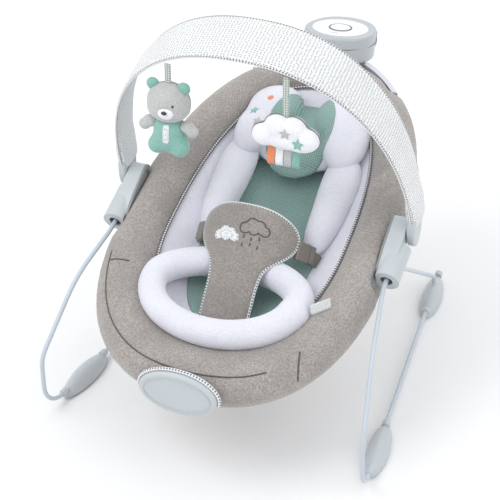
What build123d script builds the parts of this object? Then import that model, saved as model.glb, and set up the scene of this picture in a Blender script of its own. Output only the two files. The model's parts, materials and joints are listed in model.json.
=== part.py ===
from build123d import *
import math
import os

# ---- Driving dimensions, in millimetres and degrees -------------------------------------
# The rim plane is the sloping plane of the seat's upper edge. It rises towards the head end.
RIM_SLOPE = 20.0
RIM_Y = -80.0  # where the seat is widest
RIM_Z = 250.0  # height of the rim plane there
PAD_HALF_WIDTH = 200.0
PAD_TOE = 272.0  # from the widest station to the toe end, along the rim plane
PAD_HEAD = 365.0  # from the widest station to the head end
PAD_DEPTH = 112.0  # from the rim plane down to the underside
PAD_CREST = 16.0  # how far the padded edge stands above the rim plane
WELL_HALF_WIDTH = 130.0
WELL_TOE = 206.0
WELL_HEAD = 328.0
WELL_DEPTH = 66.0
LINER_WALL = 6.0
LEG_ROLL_RADIUS = 18.0
SKIN_GAP = 0.5  # between soft pieces that lie against each other
GAP = 0.4  # between separate moulded pieces

TUBE_DIAMETER = 19.0  # seat frame
TUBE_INSET = 24.0  # from the pad's outline to the tube's centreline
TUBE_DROP = 6.0  # tube centreline below the rim plane
TUBE_SPLIT = 1.0  # half the gap between the two frame tubes inside the hub

HUB_X = 206.0  # centre plane of the leg sockets
HUB_Y = -68.0
HUB_Z = 251.0
FOLD_SLOPE = 22.0  # the leg's fold axis rises this much towards the head end
HUB_WALL = 2.4
PLATE_X = 188.0  # inner face of the hub's bracket plate
PLATE = 3.0
SOCKET_RADIUS = 10.5
SOCKET_FRONT = 25.0
SOCKET_BACK = 17.0
YOKE_RADIUS = 14.5
PITCH_PIN_RADIUS = 3.0
RUN = 0.05  # radial running clearance of a pin or barrel

WIRE_DIAMETER = 6.5
WIRE_Z = 13.0  # height of the floor run's centreline
FRONT_X = 240.0
FRONT_Y = -283.0
REAR_X = 188.0
REAR_Y = 258.0
FRONT_BEND = 58.0
FOOT_LENGTH = 112.0
FOOT_WIDTH = 32.0
FOOT_HEIGHT = 24.0
SOLE = 3.0  # rubber pad under each foot

ARCH_Y = -18.0
ARCH_Z = 289.0
ARCH_LEAN = 18.6
ARCH_HALF_SPAN = 220.0
ARCH_RISE = 280.0
ARCH_POWER = 2.3  # 2 is an ellipse, more is squarer shoulders
BAND_WIDTH_END = 43.0
BAND_WIDTH_TOP = 78.0
SLEEVE_WALL = 2.5
STRIP_WIDTH = 34.0
STRIP = 3.0
PADDLE_Y = -26.0
PADDLE_Z = 292.0
PADDLE_LENGTH = 75.0
PADDLE_WIDTH = 40.0
PADDLE = 12.0
BAR_PIN_RADIUS = 4.0
BAR_PIN_Z = 285.0

UNIT_Y = 279.0
UNIT_Z = 392.0
UNIT_TILT = 8.0  # the unit leans back
UNIT_RADIUS = 55.0
UNIT_HEIGHT = 44.0
UNIT_WALL = 2.4
UNIT_TAIL = 12.0  # the housing reaches this much further at the back
PANEL_RADIUS = 43.0
BUTTON_RADIUS = 15.0
CELL_DIAMETER = 14.5
CELL_LENGTH = 50.5
ARM_LENGTH = 62.0

BEAR_X = -100.0
CLOUD_X = 67.0
TOY_Y = -126.0

TUBE_HALF_WIDTH = PAD_HALF_WIDTH - TUBE_INSET
TUBE_TOE = PAD_TOE - TUBE_INSET
TUBE_HEAD = PAD_HEAD - TUBE_INSET
YOKE_LENGTH = 20.0
YOKE_MID = -YOKE_LENGTH / 2
SOCKET_FLANGE = 11.0
REAR_WIRE_AT = 11.0  # where the rear leg enters the socket, along the fold axis
# Circles (y, z, radius) that the hub's side outline is stretched over.
HUB_CIRCLES = [(-84, 244, 13), (-60, 256, 18), (-40, 271, 14), (-26, 284, 11)]
# Points (y, x) of the cover's flat cheek as seen from above.
COVER_CURVE = [(-98, 204), (-80, 211), (-46, 213), (-10, 210), (16, 203)]
COVER_REACH = 240.0
POD_FRONT = 36.0
POD_BACK = 21.5
POD_PLAY = 1.1
MOUTH_RADIUS = 9.0
PITCH_PIN_END = 223.0
FRONT_FOOT_Y = -180.0
REAR_FOOT_Y = 210.0
TOE_FACE_Y = -335.5
TOE_Z = 158.0
HALF = UNIT_HEIGHT / 2
SPLIT = 4.0  # where the base meets the upper housing
FLOOR = -HALF + UNIT_WALL
CELL_Z = FLOOR + 0.3 + CELL_DIAMETER / 2
CELL_PITCH = CELL_DIAMETER + 1.0
CELL_Y = 8.0
SPEAKER_X = 37.5
SPEAKER_RADIUS = 9.5
TRAY_Z = CELL_Z + CELL_DIAMETER / 2 + 0.4
TRAY = 1.4
ARM_PIVOT_Y = 47.0
ARM_Z = 3.6  # underside of the arm
ARM = 3.4
ARM_WIDTH = 22.0
AXLE_RADIUS = 2.0
DOOR_WIDTH = 3 * CELL_PITCH + 4
DOOR_LENGTH = CELL_LENGTH + 6
DOOR_TRAVEL = 26.0
NECK_Y = -32.5
NECK_WIDTH = 64.0
NECK_LENGTH = 22.5
NECK_HEIGHT = 32.0
BUTTON_BOTTOM = 17.4
BOARD_Z = 14.2
SCREW_PLACES = [(45, 20), (-45, 20), (36, -32), (-36, -32)]
SHIFT_TOP = 14.0  # the band leans back by this much at its top
BEAR_TOP = 519.0
CLOUD_TOP = 533.0
RESTRAINT_TOP = 158.0
STEM_WIDTH = 58.0
STEM_FOOT = -28.0
WING_RADIUS = 84.0
WING_ANGLE = 56.0
WING_BOTTOM = 88.0
PAD_THICK = 12.0
BUCKLE_LENGTH = 22.0
BUCKLE_WIDTH = 27.0
BUCKLE_THICK = 9.0
TONGUE_LENGTH = 15.0
STRAP_LENGTH = 24.0
HEADREST_AT = (0.0, 206.0, -16.0)  # across, up the slope, above the rim plane
HEADREST_RADII = (78.0, 58.0, 17.0)
BOLSTER_AT = (85.0, 84.0, -14.0)
BOLSTER_RADII = (16.0, 64.0, 30.0)

SIDES = {"left": -1, "right": 1}
os.makedirs("parts", exist_ok=True)
parts = {}


# ---- Shared frames and helpers ----------------------------------------------------------
rise = math.radians(RIM_SLOPE)
RIM = Plane(
    origin=(0, RIM_Y, RIM_Z), x_dir=(1, 0, 0), z_dir=(0, -math.sin(rise), math.cos(rise))
)
fold = math.radians(FOLD_SLOPE)
FOLD_DIR = Vector(0, math.cos(fold), math.sin(fold))
# Local z runs along the fold axis towards the head end, local x points outwards.
HUB = Plane(origin=(HUB_X, HUB_Y, HUB_Z), x_dir=(1, 0, 0), z_dir=tuple(FOLD_DIR))
lean = math.radians(ARCH_LEAN)
# Local y climbs the toy bar's plane, local z points to its rear face.
ARCH = Plane(
    origin=(0, ARCH_Y, ARCH_Z), x_dir=(-1, 0, 0), z_dir=(0, math.cos(lean), math.sin(lean))
)
UNIT = Plane(
    origin=(0, UNIT_Y, UNIT_Z),
    x_dir=(1, 0, 0),
    z_dir=(0, math.sin(math.radians(UNIT_TILT)), math.cos(math.radians(UNIT_TILT))),
)


def keep(name, shape):
    parts[name] = shape


def both(name, shape):
    """Keeps a piece of the right side and its mirror image of the left side."""
    keep(name + "_right", shape)
    keep(name + "_left", mirror(shape, about=Plane.YZ))


def pair(shape):
    """A piece and its mirror image as one group."""
    return Compound(children=[*shape.solids(), *mirror(shape, about=Plane.YZ).solids()])


def egg(half_width, toe, head):
    """An oval face made of a short half ellipse at the toe and a long one at the head."""
    front = Edge.make_ellipse(half_width, toe, start_angle=180, end_angle=360)
    back = Edge.make_ellipse(half_width, head, start_angle=0, end_angle=180)
    return make_face(Wire([front, back]))


def egg_loft(sections):
    """A solid through ovals given as (w, half width, toe, head), each parallel to the rim."""
    faces = []
    for w, half_width, toe, head in sections:
        faces.append(RIM * Pos(0, 0, w) * egg(half_width, toe, head))
    return loft(faces)


def tube_along(points, radii, radius):
    """A round bar along straight runs joined by arcs."""
    path = FilletPolyline(*points, radius=radii)
    section = Plane(origin=path @ 0, z_dir=path % 0) * Circle(radius)
    return sweep(section, path=path)


def ellipsoid(centre, radii, plane=Plane.XY):
    """A ball stretched along the three directions of a plane."""
    return plane * Pos(*centre) * scale(Sphere(1), by=radii)


def slab(x, y, z, plane=Plane.XY, at=(0, 0, 0), round_by=0):
    """A box in a plane, its vertical edges rounded."""
    body = Box(x, y, z)
    if round_by:
        body = fillet(body.edges().filter_by(Axis.Z), round_by)
    return plane * Pos(*at) * body


# ---- Seat frame -------------------------------------------------------------------------


def frame_tube(length, start, end, radius):
    """Half of the oval seat frame, its ends TUBE_SPLIT short of the widest station."""
    trim = math.degrees(TUBE_SPLIT / length)
    path = Edge.make_ellipse(
        TUBE_HALF_WIDTH, length, start_angle=start + trim, end_angle=end - trim
    )
    path = RIM * Pos(0, 0, -TUBE_DROP) * path
    return sweep(Plane(origin=path @ 0, z_dir=path % 0) * Circle(radius), path=path)


def frame_tubes(radius):
    upper = frame_tube(TUBE_HEAD, 0, 180, radius)
    lower = frame_tube(TUBE_TOE, 180, 360, radius)
    return upper, lower


# ---- Hubs: bracket plate, cover, yoke and leg socket ------------------------------------
# Circles (y, z, radius) that the hub's side outline is stretched over.


def pitch_axis_point(x):
    centre = HUB.from_local_coords(Vector(0, 0, YOKE_MID))
    return Vector(x, centre.Y, centre.Z)


def x_pin(x0, x1, y, z, radius):
    """A round pin along X."""
    return Plane(origin=(x0, y, z), z_dir=(1, 0, 0)) * extrude(Circle(radius), x1 - x0)


def hub_prism(x0, x1, inset=0):
    """The hub's side outline between two X planes."""
    circles = [Pos(y, z) * Circle(radius - inset) for y, z, radius in HUB_CIRCLES]
    outline = make_hull([edge for circle in circles for edge in circle.edges()])
    # The sketch's x is world Y and its y is world Z, so the plane looks along +X.
    plane = Plane(origin=(x0, 0, 0), x_dir=(0, 1, 0), z_dir=(1, 0, 0))
    return plane * extrude(outline, x1 - x0)


def cover_block(inset=0):
    """The hub cover's bulge as seen from above, taller than the hub."""
    front = COVER_CURVE[0][0]
    back = COVER_CURVE[-1][0]
    points = [Vector(x - inset, y) for y, x in COVER_CURVE]
    outer = Edge.make_spline(points)
    inner = Polyline(points[-1], (PLATE_X + PLATE, back), (PLATE_X + PLATE, front), points[0])
    face = make_face(Wire([outer, *inner.edges()]))
    return Pos(0, 0, HUB_Z - 60) * extrude(face, 140)


def hub_plate():
    plate = hub_prism(PLATE_X, PLATE_X + PLATE)
    clamp = slab(TUBE_DIAMETER + 6, 64, TUBE_DIAMETER + 6, RIM,
                 (TUBE_HALF_WIDTH + 1, 0, -TUBE_DROP), 3)
    clamp -= Pos(PLATE_X + 50, 0, HUB_Z) * Box(100, 400, 400)
    bridge = RIM * Pos((TUBE_HALF_WIDTH + PLATE_X) / 2, 0, -TUBE_DROP) * Box(
        PLATE_X - TUBE_HALF_WIDTH, 50, TUBE_DIAMETER)
    plate = plate + clamp + bridge
    for tube in frame_tubes(TUBE_DIAMETER / 2):
        plate -= tube
    pin = pitch_axis_point(PLATE_X)
    plate -= x_pin(PLATE_X - 1, PLATE_X + PLATE + 1, pin.Y, pin.Z, PITCH_PIN_RADIUS)
    plate -= x_pin(PLATE_X - 1, PLATE_X + PLATE + 1, PADDLE_Y, BAR_PIN_Z, BAR_PIN_RADIUS)
    return plate - wire_gate(PLATE_X - 1, PLATE_X + PLATE + 1)


def wire_gate(x0, x1):
    """The opening under the hub that the leg swings through."""
    return slab(x1 - x0, 42, 46, Plane.XY, ((x0 + x1) / 2, -61, 221))


def pod(radius, front, back):
    """A round shell's volume around the fold axis."""
    return HUB * Pos(0, 0, (back - front) / 2) * Cylinder(radius, front + back)


def hub_cover():
    """The flat cheek behind the paddle and the round pod over the leg's socket."""
    room = YOKE_RADIUS + POD_PLAY
    body = (hub_prism(PLATE_X, COVER_REACH) & cover_block()) + pod(
        room + HUB_WALL, POD_FRONT, POD_BACK)
    hollow = (hub_prism(PLATE_X, COVER_REACH, HUB_WALL) & cover_block(HUB_WALL)) + pod(
        room, POD_FRONT - HUB_WALL, POD_BACK - HUB_WALL)
    start = PLATE_X + PLATE + GAP / 2
    cover = (body - hollow) & Pos((start + COVER_REACH) / 2, HUB_Y, HUB_Z) * Box(
        COVER_REACH - start, 300, 300)
    cover -= wire_gate(PLATE_X, COVER_REACH)
    # The mouth that the front leg leaves by, wide enough for the bounce.
    cover -= pod(MOUTH_RADIUS, POD_FRONT + 2, 0)
    boss = x_pin(PLATE_X + PLATE + GAP, 211.5, PADDLE_Y, BAR_PIN_Z, BAR_PIN_RADIUS + 3)
    cover += boss & hub_prism(PLATE_X, COVER_REACH)
    cover -= x_pin(PLATE_X, COVER_REACH, PADDLE_Y, BAR_PIN_Z, BAR_PIN_RADIUS)
    return cover - pitch_pins()


def pitch_pins():
    """Two stub pins that the yoke rocks on, one in the plate and one in the cover's wall."""
    centre = pitch_axis_point(0)
    inner = x_pin(PLATE_X, HUB_X - SOCKET_RADIUS - 1, centre.Y, centre.Z, PITCH_PIN_RADIUS)
    outer = x_pin(HUB_X + SOCKET_RADIUS + 1, PITCH_PIN_END, centre.Y, centre.Z, PITCH_PIN_RADIUS)
    return Compound(children=[inner, outer])


def yoke():
    body = HUB * Pos(0, 0, YOKE_MID) * Cylinder(YOKE_RADIUS, YOKE_LENGTH)
    bore = HUB * Pos(0, 0, YOKE_MID) * Cylinder(SOCKET_RADIUS + RUN, YOKE_LENGTH + 2)
    body -= bore
    centre = pitch_axis_point(0)
    return body - x_pin(150, 260, centre.Y, centre.Z, PITCH_PIN_RADIUS + RUN)


def leg_socket(wire):
    barrel = HUB * Pos(0, 0, (SOCKET_BACK - SOCKET_FRONT) / 2) * Cylinder(
        SOCKET_RADIUS, SOCKET_BACK + SOCKET_FRONT)
    flange = HUB * Pos(0, 0, (SOCKET_BACK + GAP) / 2) * Cylinder(
        SOCKET_FLANGE + 1, SOCKET_BACK - GAP)
    return barrel + flange - wire


# ---- Legs -------------------------------------------------------------------------------
def floor_x(y):
    """Where the floor run is at station y."""
    return FRONT_X + (REAR_X - FRONT_X) * (y - FRONT_Y) / (REAR_Y - FRONT_Y)


def leg_wire():
    start = HUB.from_local_coords(Vector(0, 0, 2))
    drop = -math.tan(fold)
    mouth_turn = Vector(HUB_X, -112, HUB_Z + (HUB_Y + 112) * drop)
    shoulder = Vector(HUB_X + 16, -199, 197)
    knee = Vector(FRONT_X - 1, FRONT_Y, 108)
    toe = Vector(FRONT_X, FRONT_Y, WIRE_Z)
    heel = Vector(REAR_X, REAR_Y, WIRE_Z)
    end = HUB.from_local_coords(Vector(0, 0, REAR_WIRE_AT))
    under = Vector(HUB_X, end.Y, 234.5)
    points = [start, mouth_turn, shoulder, knee, toe, heel, under, end]
    radii = [150, 150, 40, FRONT_BEND - 12, 14, 10]
    return tube_along([tuple(p) for p in points], radii, WIRE_DIAMETER / 2)


def foot(y, wire):
    centre = (floor_x(y), y, SOLE)
    turn = math.degrees(math.atan2(FRONT_X - REAR_X, REAR_Y - FRONT_Y))
    body = Pos(*centre) * Rot(0, 0, turn) * scale(
        Sphere(1), by=(FOOT_WIDTH / 2, FOOT_LENGTH / 2, FOOT_HEIGHT - SOLE))
    body -= Pos(centre[0], y, SOLE - 50) * Box(200, 200, 100)
    return body - wire


def sole(y):
    turn = math.degrees(math.atan2(FRONT_X - REAR_X, REAR_Y - FRONT_Y))
    return Pos(floor_x(y), y, 0) * Rot(0, 0, turn) * extrude(
        Ellipse(FOOT_WIDTH / 2 - 2, FOOT_LENGTH / 2 - 5), SOLE)


# ---- Toe cover --------------------------------------------------------------------------


def toe_plate(half_width, half_height, y, depth):
    plane = Plane(origin=(0, y, TOE_Z), x_dir=(1, 0, 0), z_dir=(0, -1, 0))
    return plane * extrude(Ellipse(half_width, half_height), depth)


def toe_cover():
    cap = toe_plate(56, 33, TOE_FACE_Y - GAP, 9)
    return fillet(cap.faces().sort_by(Axis.Y)[0].edges(), 5)


def toe_clip():
    clip = toe_plate(44, 22, TOE_FACE_Y + 17, 17)
    return clip - frame_tubes(TUBE_DIAMETER / 2)[1]


# ---- Control unit -----------------------------------------------------------------------


def unit_outline(inset=0):
    front = Circle(UNIT_RADIUS - inset)
    back = Pos(0, UNIT_TAIL) * Circle(UNIT_RADIUS - 3 - inset)
    return make_hull((front + back).edges())


def unit_base():
    base = Pos(0, 0, -HALF) * extrude(unit_outline(), HALF + SPLIT)
    base = fillet(base.faces().sort_by(Axis.Z)[0].edges(), 7)
    base -= Pos(0, 0, FLOOR) * extrude(unit_outline(UNIT_WALL), HALF + SPLIT)
    base -= Pos(0, CELL_Y, -HALF) * Box(DOOR_WIDTH, DOOR_LENGTH, 20)
    for x in (-1, 1):
        base += Pos(x * (ARM_WIDTH / 2 + 3), ARM_PIVOT_Y, FLOOR + 13.5) * Box(4, 10, 27)
        base += Pos(x * (DOOR_WIDTH / 2 + 1.5), CELL_Y, FLOOR + 8) * Box(2, DOOR_LENGTH, 16)
    # The battery bay's roof, which carries the drive's magnet.
    base += Pos(0, CELL_Y, TRAY_Z + TRAY / 2) * Box(DOOR_WIDTH + 5, DOOR_LENGTH, TRAY)
    base -= Plane(origin=(-40, ARM_PIVOT_Y, ARM_Z + ARM / 2), z_dir=(1, 0, 0)) * extrude(
        Circle(AXLE_RADIUS), 80)
    for place in SCREW_PLACES:
        base += Pos(*place, FLOOR) * extrude(Circle(3.6), SPLIT - FLOOR)
        base -= Pos(*place, -HALF) * extrude(Circle(1.5), HALF + SPLIT)
    return base


def unit_ring():
    ring = Pos(0, 0, SPLIT) * extrude(unit_outline(), HALF - SPLIT)
    ring = fillet(ring.faces().sort_by(Axis.Z)[-1].edges(), 5)
    ring -= Pos(0, 0, SPLIT) * extrude(unit_outline(UNIT_WALL), 12)
    ring -= extrude(Circle(PANEL_RADIUS - 2), 40)
    ring -= Pos(0, 0, HALF - 2.6) * extrude(Circle(PANEL_RADIUS + 0.2), 10)
    for place in SCREW_PLACES:
        ring += Pos(*place, SPLIT) * extrude(Circle(3.6), 12.5)
        ring -= Pos(*place, SPLIT) * extrude(Circle(1.5), 6)
    return ring


def control_panel():
    panel = Pos(0, 0, HALF - 2.6) * extrude(Circle(PANEL_RADIUS), 2.6)
    return panel - extrude(Circle(BUTTON_RADIUS + 0.4), 40)


def power_button():
    return Pos(0, 0, BUTTON_BOTTOM) * extrude(Circle(BUTTON_RADIUS), 5.8)


def main_board():
    board = Pos(0, 0, BOARD_Z) * extrude(Circle(38), 1.6)
    for place in SCREW_PLACES:
        board -= Pos(*place, 0) * extrude(Circle(5), 40)
    return board


def speaker():
    return Pos(SPEAKER_X, -4, FLOOR) * extrude(Circle(SPEAKER_RADIUS), 8)


def battery_cells():
    cells = []
    for n in (-1, 0, 1):
        plane = Plane(origin=(n * CELL_PITCH, CELL_Y - CELL_LENGTH / 2, CELL_Z), z_dir=(0, 1, 0))
        cells.append(plane * extrude(Circle(CELL_DIAMETER / 2), CELL_LENGTH))
    return Compound(children=cells)


def battery_door():
    return Pos(0, CELL_Y, -HALF + UNIT_WALL / 2) * Box(
        DOOR_WIDTH - 2 * GAP, DOOR_LENGTH - 2 * GAP, UNIT_WALL)


def magnet():
    top = TRAY_Z + TRAY
    return Pos(0, ARM_PIVOT_Y - ARM_LENGTH + 10, top) * extrude(Circle(9), 1.6)


def drive_arm():
    plate = Pos(0, ARM_PIVOT_Y - ARM_LENGTH / 2, ARM_Z + ARM / 2) * Box(
        ARM_WIDTH, ARM_LENGTH, ARM)
    hub = Plane(origin=(-ARM_WIDTH / 2, ARM_PIVOT_Y, ARM_Z + ARM / 2), z_dir=(1, 0, 0)) * extrude(
        Circle(4.5), ARM_WIDTH)
    arm = plate + hub
    arm -= Plane(origin=(-40, ARM_PIVOT_Y, ARM_Z + ARM / 2), z_dir=(1, 0, 0)) * extrude(
        Circle(AXLE_RADIUS + RUN), 80)
    return arm - Pos(0, ARM_PIVOT_Y - ARM_LENGTH + 10, 0) * extrude(Circle(8), 20)


def drive_coil():
    at = (0, ARM_PIVOT_Y - ARM_LENGTH + 10, ARM_Z)
    return Pos(*at) * (extrude(Circle(8), ARM + 1) - extrude(Circle(3), ARM + 1))


def arm_axle():
    return Plane(origin=(-18, ARM_PIVOT_Y, ARM_Z + ARM / 2), z_dir=(1, 0, 0)) * extrude(
        Circle(AXLE_RADIUS), 36)


def arm_spring():
    top = TRAY_Z + TRAY
    wire = extrude(Circle(4), ARM_Z - top) - extrude(Circle(2.8), ARM_Z - top)
    return Pos(0, 14, top) * wire


def unit_screws():
    screws = []
    for place in SCREW_PLACES:
        screws.append(Pos(*place, -HALF + 0.5) * extrude(Circle(1.5), HALF + SPLIT + 5))
    return Compound(children=screws)


def neck_block():
    """The saddle that ties the unit to the head end of the frame tube."""
    block = UNIT * Pos(0, NECK_Y, -HALF - NECK_HEIGHT / 2) * Box(
        NECK_WIDTH, NECK_LENGTH, NECK_HEIGHT)
    return block - frame_tubes(TUBE_DIAMETER / 2)[0]


def neck_room():
    """The saddle's place and the way the battery door comes off."""
    saddle = Pos(0, NECK_Y, -HALF - NECK_HEIGHT / 2) * Box(
        NECK_WIDTH + 2, NECK_LENGTH + 2, NECK_HEIGHT + 2)
    door = Pos(0, CELL_Y, -HALF - DOOR_TRAVEL / 2) * Box(
        DOOR_WIDTH + 4, DOOR_LENGTH + 4, DOOR_TRAVEL)
    return UNIT * (saddle + door)


def neck_cover():
    """A curved fairing behind the head end."""
    outer = egg(PAD_HALF_WIDTH + 9, PAD_TOE, PAD_HEAD + 9)
    inner = egg(PAD_HALF_WIDTH + 2, PAD_TOE, PAD_HEAD + 2)
    shell = RIM * Pos(0, 0, -36) * extrude(outer - inner, 38)
    shell &= RIM * Pos(0, PAD_HEAD - 15, 0) * Box(250, 80, 200)
    return shell - unit_envelope(GAP) - neck_room()


def unit_envelope(room):
    return UNIT * Pos(0, 0, -HALF - room) * extrude(unit_outline(-room), UNIT_HEIGHT + 30)


# ---- Toy bar ----------------------------------------------------------------------------
def arch_edge(grow):
    points = []
    steps = 16
    for step in range(steps + 1):
        angle = math.pi * step / steps
        across, up = math.cos(angle), math.sin(angle)
        x = (ARCH_HALF_SPAN + grow) * math.copysign(abs(across) ** (2 / ARCH_POWER), across)
        points.append((x, (ARCH_RISE + grow) * abs(up) ** (2 / ARCH_POWER)))
    return Spline(*points)


def arch_band(inner, outer, front_end, back_end, front_top, back_top, low):
    """A band over the arch between two offsets, its edges given at the ends and the top."""
    big, small = arch_edge(outer), arch_edge(inner)
    left = Line(big @ 1, small @ 1)
    right = Line(small @ 0, big @ 0)
    face = make_face(Wire([big.edge(), left.edge(), small.edge(), right.edge()]))
    ring = ARCH * Pos(0, 0, -90) * extrude(face, 180)
    top = ARCH_RISE
    extra = 1.2  # the side outline carries on past the top
    def at(end, peak, height):
        return (end + (peak - end) * height / top, height)

    profile = Polyline(
        at(front_end, front_top, low), at(back_end, back_top, low),
        at(back_end, back_top, top * extra), at(front_end, front_top, top * extra), close=True)
    side = Plane(origin=ARCH.origin, x_dir=tuple(ARCH.z_dir), z_dir=(1, 0, 0))
    return ring & (side * Pos(0, 0, -300) * extrude(make_face(profile), 600))


def toy_bar_strip():
    half = STRIP_WIDTH / 2
    return arch_band(-STRIP / 2, STRIP / 2, -half, half, SHIFT_TOP - half, SHIFT_TOP + half, 16)


def toy_bar_sleeve():
    half, top = BAND_WIDTH_END / 2, BAND_WIDTH_TOP / 2
    out = STRIP / 2 + SKIN_GAP + SLEEVE_WALL
    sleeve = arch_band(-out, out, -half, half, SHIFT_TOP - top, SHIFT_TOP + top, 44)
    half = STRIP_WIDTH / 2 + SKIN_GAP
    inside = STRIP / 2 + SKIN_GAP
    return sleeve - arch_band(
        -inside, inside, -half, half, SHIFT_TOP - half, SHIFT_TOP + half, 40)


def paddle():
    plane = Plane(origin=(ARCH_HALF_SPAN - PADDLE / 2, PADDLE_Y, PADDLE_Z),
                  x_dir=(0, 1, 0), z_dir=(1, 0, 0))
    body = plane * extrude(Ellipse(PADDLE_WIDTH / 2, PADDLE_LENGTH / 2), PADDLE)
    body = fillet(body.edges(), 3)
    body -= x_pin(ARCH_HALF_SPAN - PADDLE, ARCH_HALF_SPAN + 2, PADDLE_Y, BAR_PIN_Z,
                  BAR_PIN_RADIUS + RUN)
    return body - toy_bar_strip()


def bar_pin():
    return x_pin(PLATE_X, ARCH_HALF_SPAN + 1.5, PADDLE_Y, BAR_PIN_Z, BAR_PIN_RADIUS)


# ---- Toys -------------------------------------------------------------------------------


def bear_head():
    head = ellipsoid((BEAR_X, TOY_Y, 467), (31, 24, 28))
    for side in (-1, 1):
        head += ellipsoid((BEAR_X + side * 24, TOY_Y, 486), (9, 7, 9))
        head += ellipsoid((BEAR_X + side * 27, TOY_Y - 4, 431), (9, 9, 10))
    return head


def bear_body():
    body = ellipsoid((BEAR_X, TOY_Y, 421), (27, 20, 28))
    for side in (-1, 1):
        body += ellipsoid((BEAR_X + side * 16, TOY_Y - 4, 404), (14, 14, 13))
    return body - bear_head()


def hang_strap(x, top, bottom, cutter):
    strap = Pos(x, TOY_Y, (top + bottom) / 2) * Box(9, 1.6, top - bottom)
    return strap - cutter


def cloud():
    puffs = [(-24, 446, 22, 19), (2, 458, 27, 26), (27, 448, 21, 21), (4, 441, 34, 13)]
    body = None
    for dx, z, rx, rz in puffs:
        puff = ellipsoid((CLOUD_X + dx, TOY_Y, z), (rx, 17, rz))
        body = puff if body is None else body + puff
    return body


def cloud_ribbons(cutter):
    ribbons = []
    for n in range(4):
        strip = Pos(CLOUD_X - 24 + 12 * n, TOY_Y, 420 - n) * Box(9, 1.6, 32)
        ribbons.append(strip - cutter)
    return Compound(children=[r.solids().sort_by(Axis.Z)[0] for r in ribbons])


# ---- Soft parts -------------------------------------------------------------------------
def well(inset):
    """The hollow of the seat, its walls and floor moved inwards by inset."""
    lift = PAD_CREST + 30
    return egg_loft([
        (lift, WELL_HALF_WIDTH - inset + 4, WELL_TOE - inset + 6, WELL_HEAD - inset + 6),
        (-28, WELL_HALF_WIDTH - 12 - inset, WELL_TOE - 26 - inset, WELL_HEAD - 40 - inset),
        (-WELL_DEPTH + inset, WELL_HALF_WIDTH - 42 - inset, WELL_TOE - 66 - inset,
         WELL_HEAD - 110 - inset),
    ])


def hub_room(side):
    """The notch in the pad that the hub sits in."""
    return slab(72, 148, 130, RIM, (side * (PLATE_X + 8), 28, -10))


def outer_pad():
    body = egg_loft([
        (PAD_CREST, PAD_HALF_WIDTH - 34, PAD_TOE - 18, PAD_HEAD - 34),
        (0, PAD_HALF_WIDTH, PAD_TOE, PAD_HEAD),
        (-45, PAD_HALF_WIDTH - 30, PAD_TOE - 14, PAD_HEAD - 40),
        (-85, PAD_HALF_WIDTH - 78, PAD_TOE - 66, PAD_HEAD - 130),
        (-PAD_DEPTH, PAD_HALF_WIDTH - 130, PAD_TOE - 140, PAD_HEAD - 230),
    ])
    body -= well(0)
    for tube in frame_tubes(TUBE_DIAMETER / 2 + SKIN_GAP):
        body -= tube
    for side in SIDES.values():
        body -= hub_room(side)
    body -= unit_envelope(1.0)
    body -= neck_room()
    body -= leg_roll(LEG_ROLL_RADIUS + SKIN_GAP)
    return body - toe_plate(46, 24, TOE_FACE_Y + 20, 40)


def liner():
    body = well(SKIN_GAP) - well(SKIN_GAP + LINER_WALL)
    body &= RIM * Pos(0, 40, PAD_CREST - 150) * Box(600, 900, 300)
    body -= leg_roll(LEG_ROLL_RADIUS + SKIN_GAP)
    return body - unit_envelope(1.0)


def mesh_panel():
    inset = SKIN_GAP * 2 + LINER_WALL
    low = -WELL_DEPTH + inset
    return egg_loft([
        (low, WELL_HALF_WIDTH - 46 - inset, WELL_TOE - 70 - inset, WELL_HEAD - 116 - inset),
        (low + 8, WELL_HALF_WIDTH - 44 - inset, WELL_TOE - 68 - inset, WELL_HEAD - 112 - inset),
    ])


def bolster(side):
    return ellipsoid((side * BOLSTER_AT[0], *BOLSTER_AT[1:]), BOLSTER_RADII, RIM)


def leg_roll(radius):
    """A padded roll around the toe side of the well, open towards the head."""
    path = Edge.make_ellipse(102, 78, start_angle=165, end_angle=375)
    path = RIM * Pos(0, -108, 5) * path
    return sweep(Plane(origin=path @ 0, z_dir=path % 0) * Circle(radius), path=path)


def headrest_pillow():
    return ellipsoid(HEADREST_AT, HEADREST_RADII, RIM)


def headrest_mesh():
    face = Pos(*HEADREST_AT) * Ellipse(46, 44)
    under = tuple(radius + SKIN_GAP for radius in HEADREST_RADII)
    layer = RIM * extrude(face, 26) - ellipsoid(HEADREST_AT, under, RIM)
    return layer.solids().sort_by(Axis.Z)[-1]


# ---- Crotch restraint and buckles -------------------------------------------------------
rise_of_pad = math.atan2(119, 104)
RESTRAINT = Plane(origin=(0, -191, 184), x_dir=(1, 0, 0),
                  z_dir=(0, -math.sin(rise_of_pad), math.cos(rise_of_pad)))


def crotch_restraint():
    stem = Pos(0, (STEM_FOOT + 110) / 2, 0) * Box(STEM_WIDTH, 110 - STEM_FOOT, PAD_THICK)
    disc = Circle(WING_RADIUS + PAD_THICK / 2) - Circle(WING_RADIUS - PAD_THICK / 2)
    reach = 300
    half = math.radians(WING_ANGLE)
    wedge = make_face(Polyline((0, 0), (reach * math.sin(half), reach * math.cos(half)),
                               (-reach * math.sin(half), reach * math.cos(half)), close=True))
    # The wings' section lies across the pad, drawn with its y along the pad's normal.
    section = Plane(origin=(0, RESTRAINT_TOP, -WING_RADIUS), x_dir=(1, 0, 0), z_dir=(0, -1, 0))
    wings = section * extrude(disc & wedge, RESTRAINT_TOP - WING_BOTTOM)
    return RESTRAINT * (stem + wings)


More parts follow.
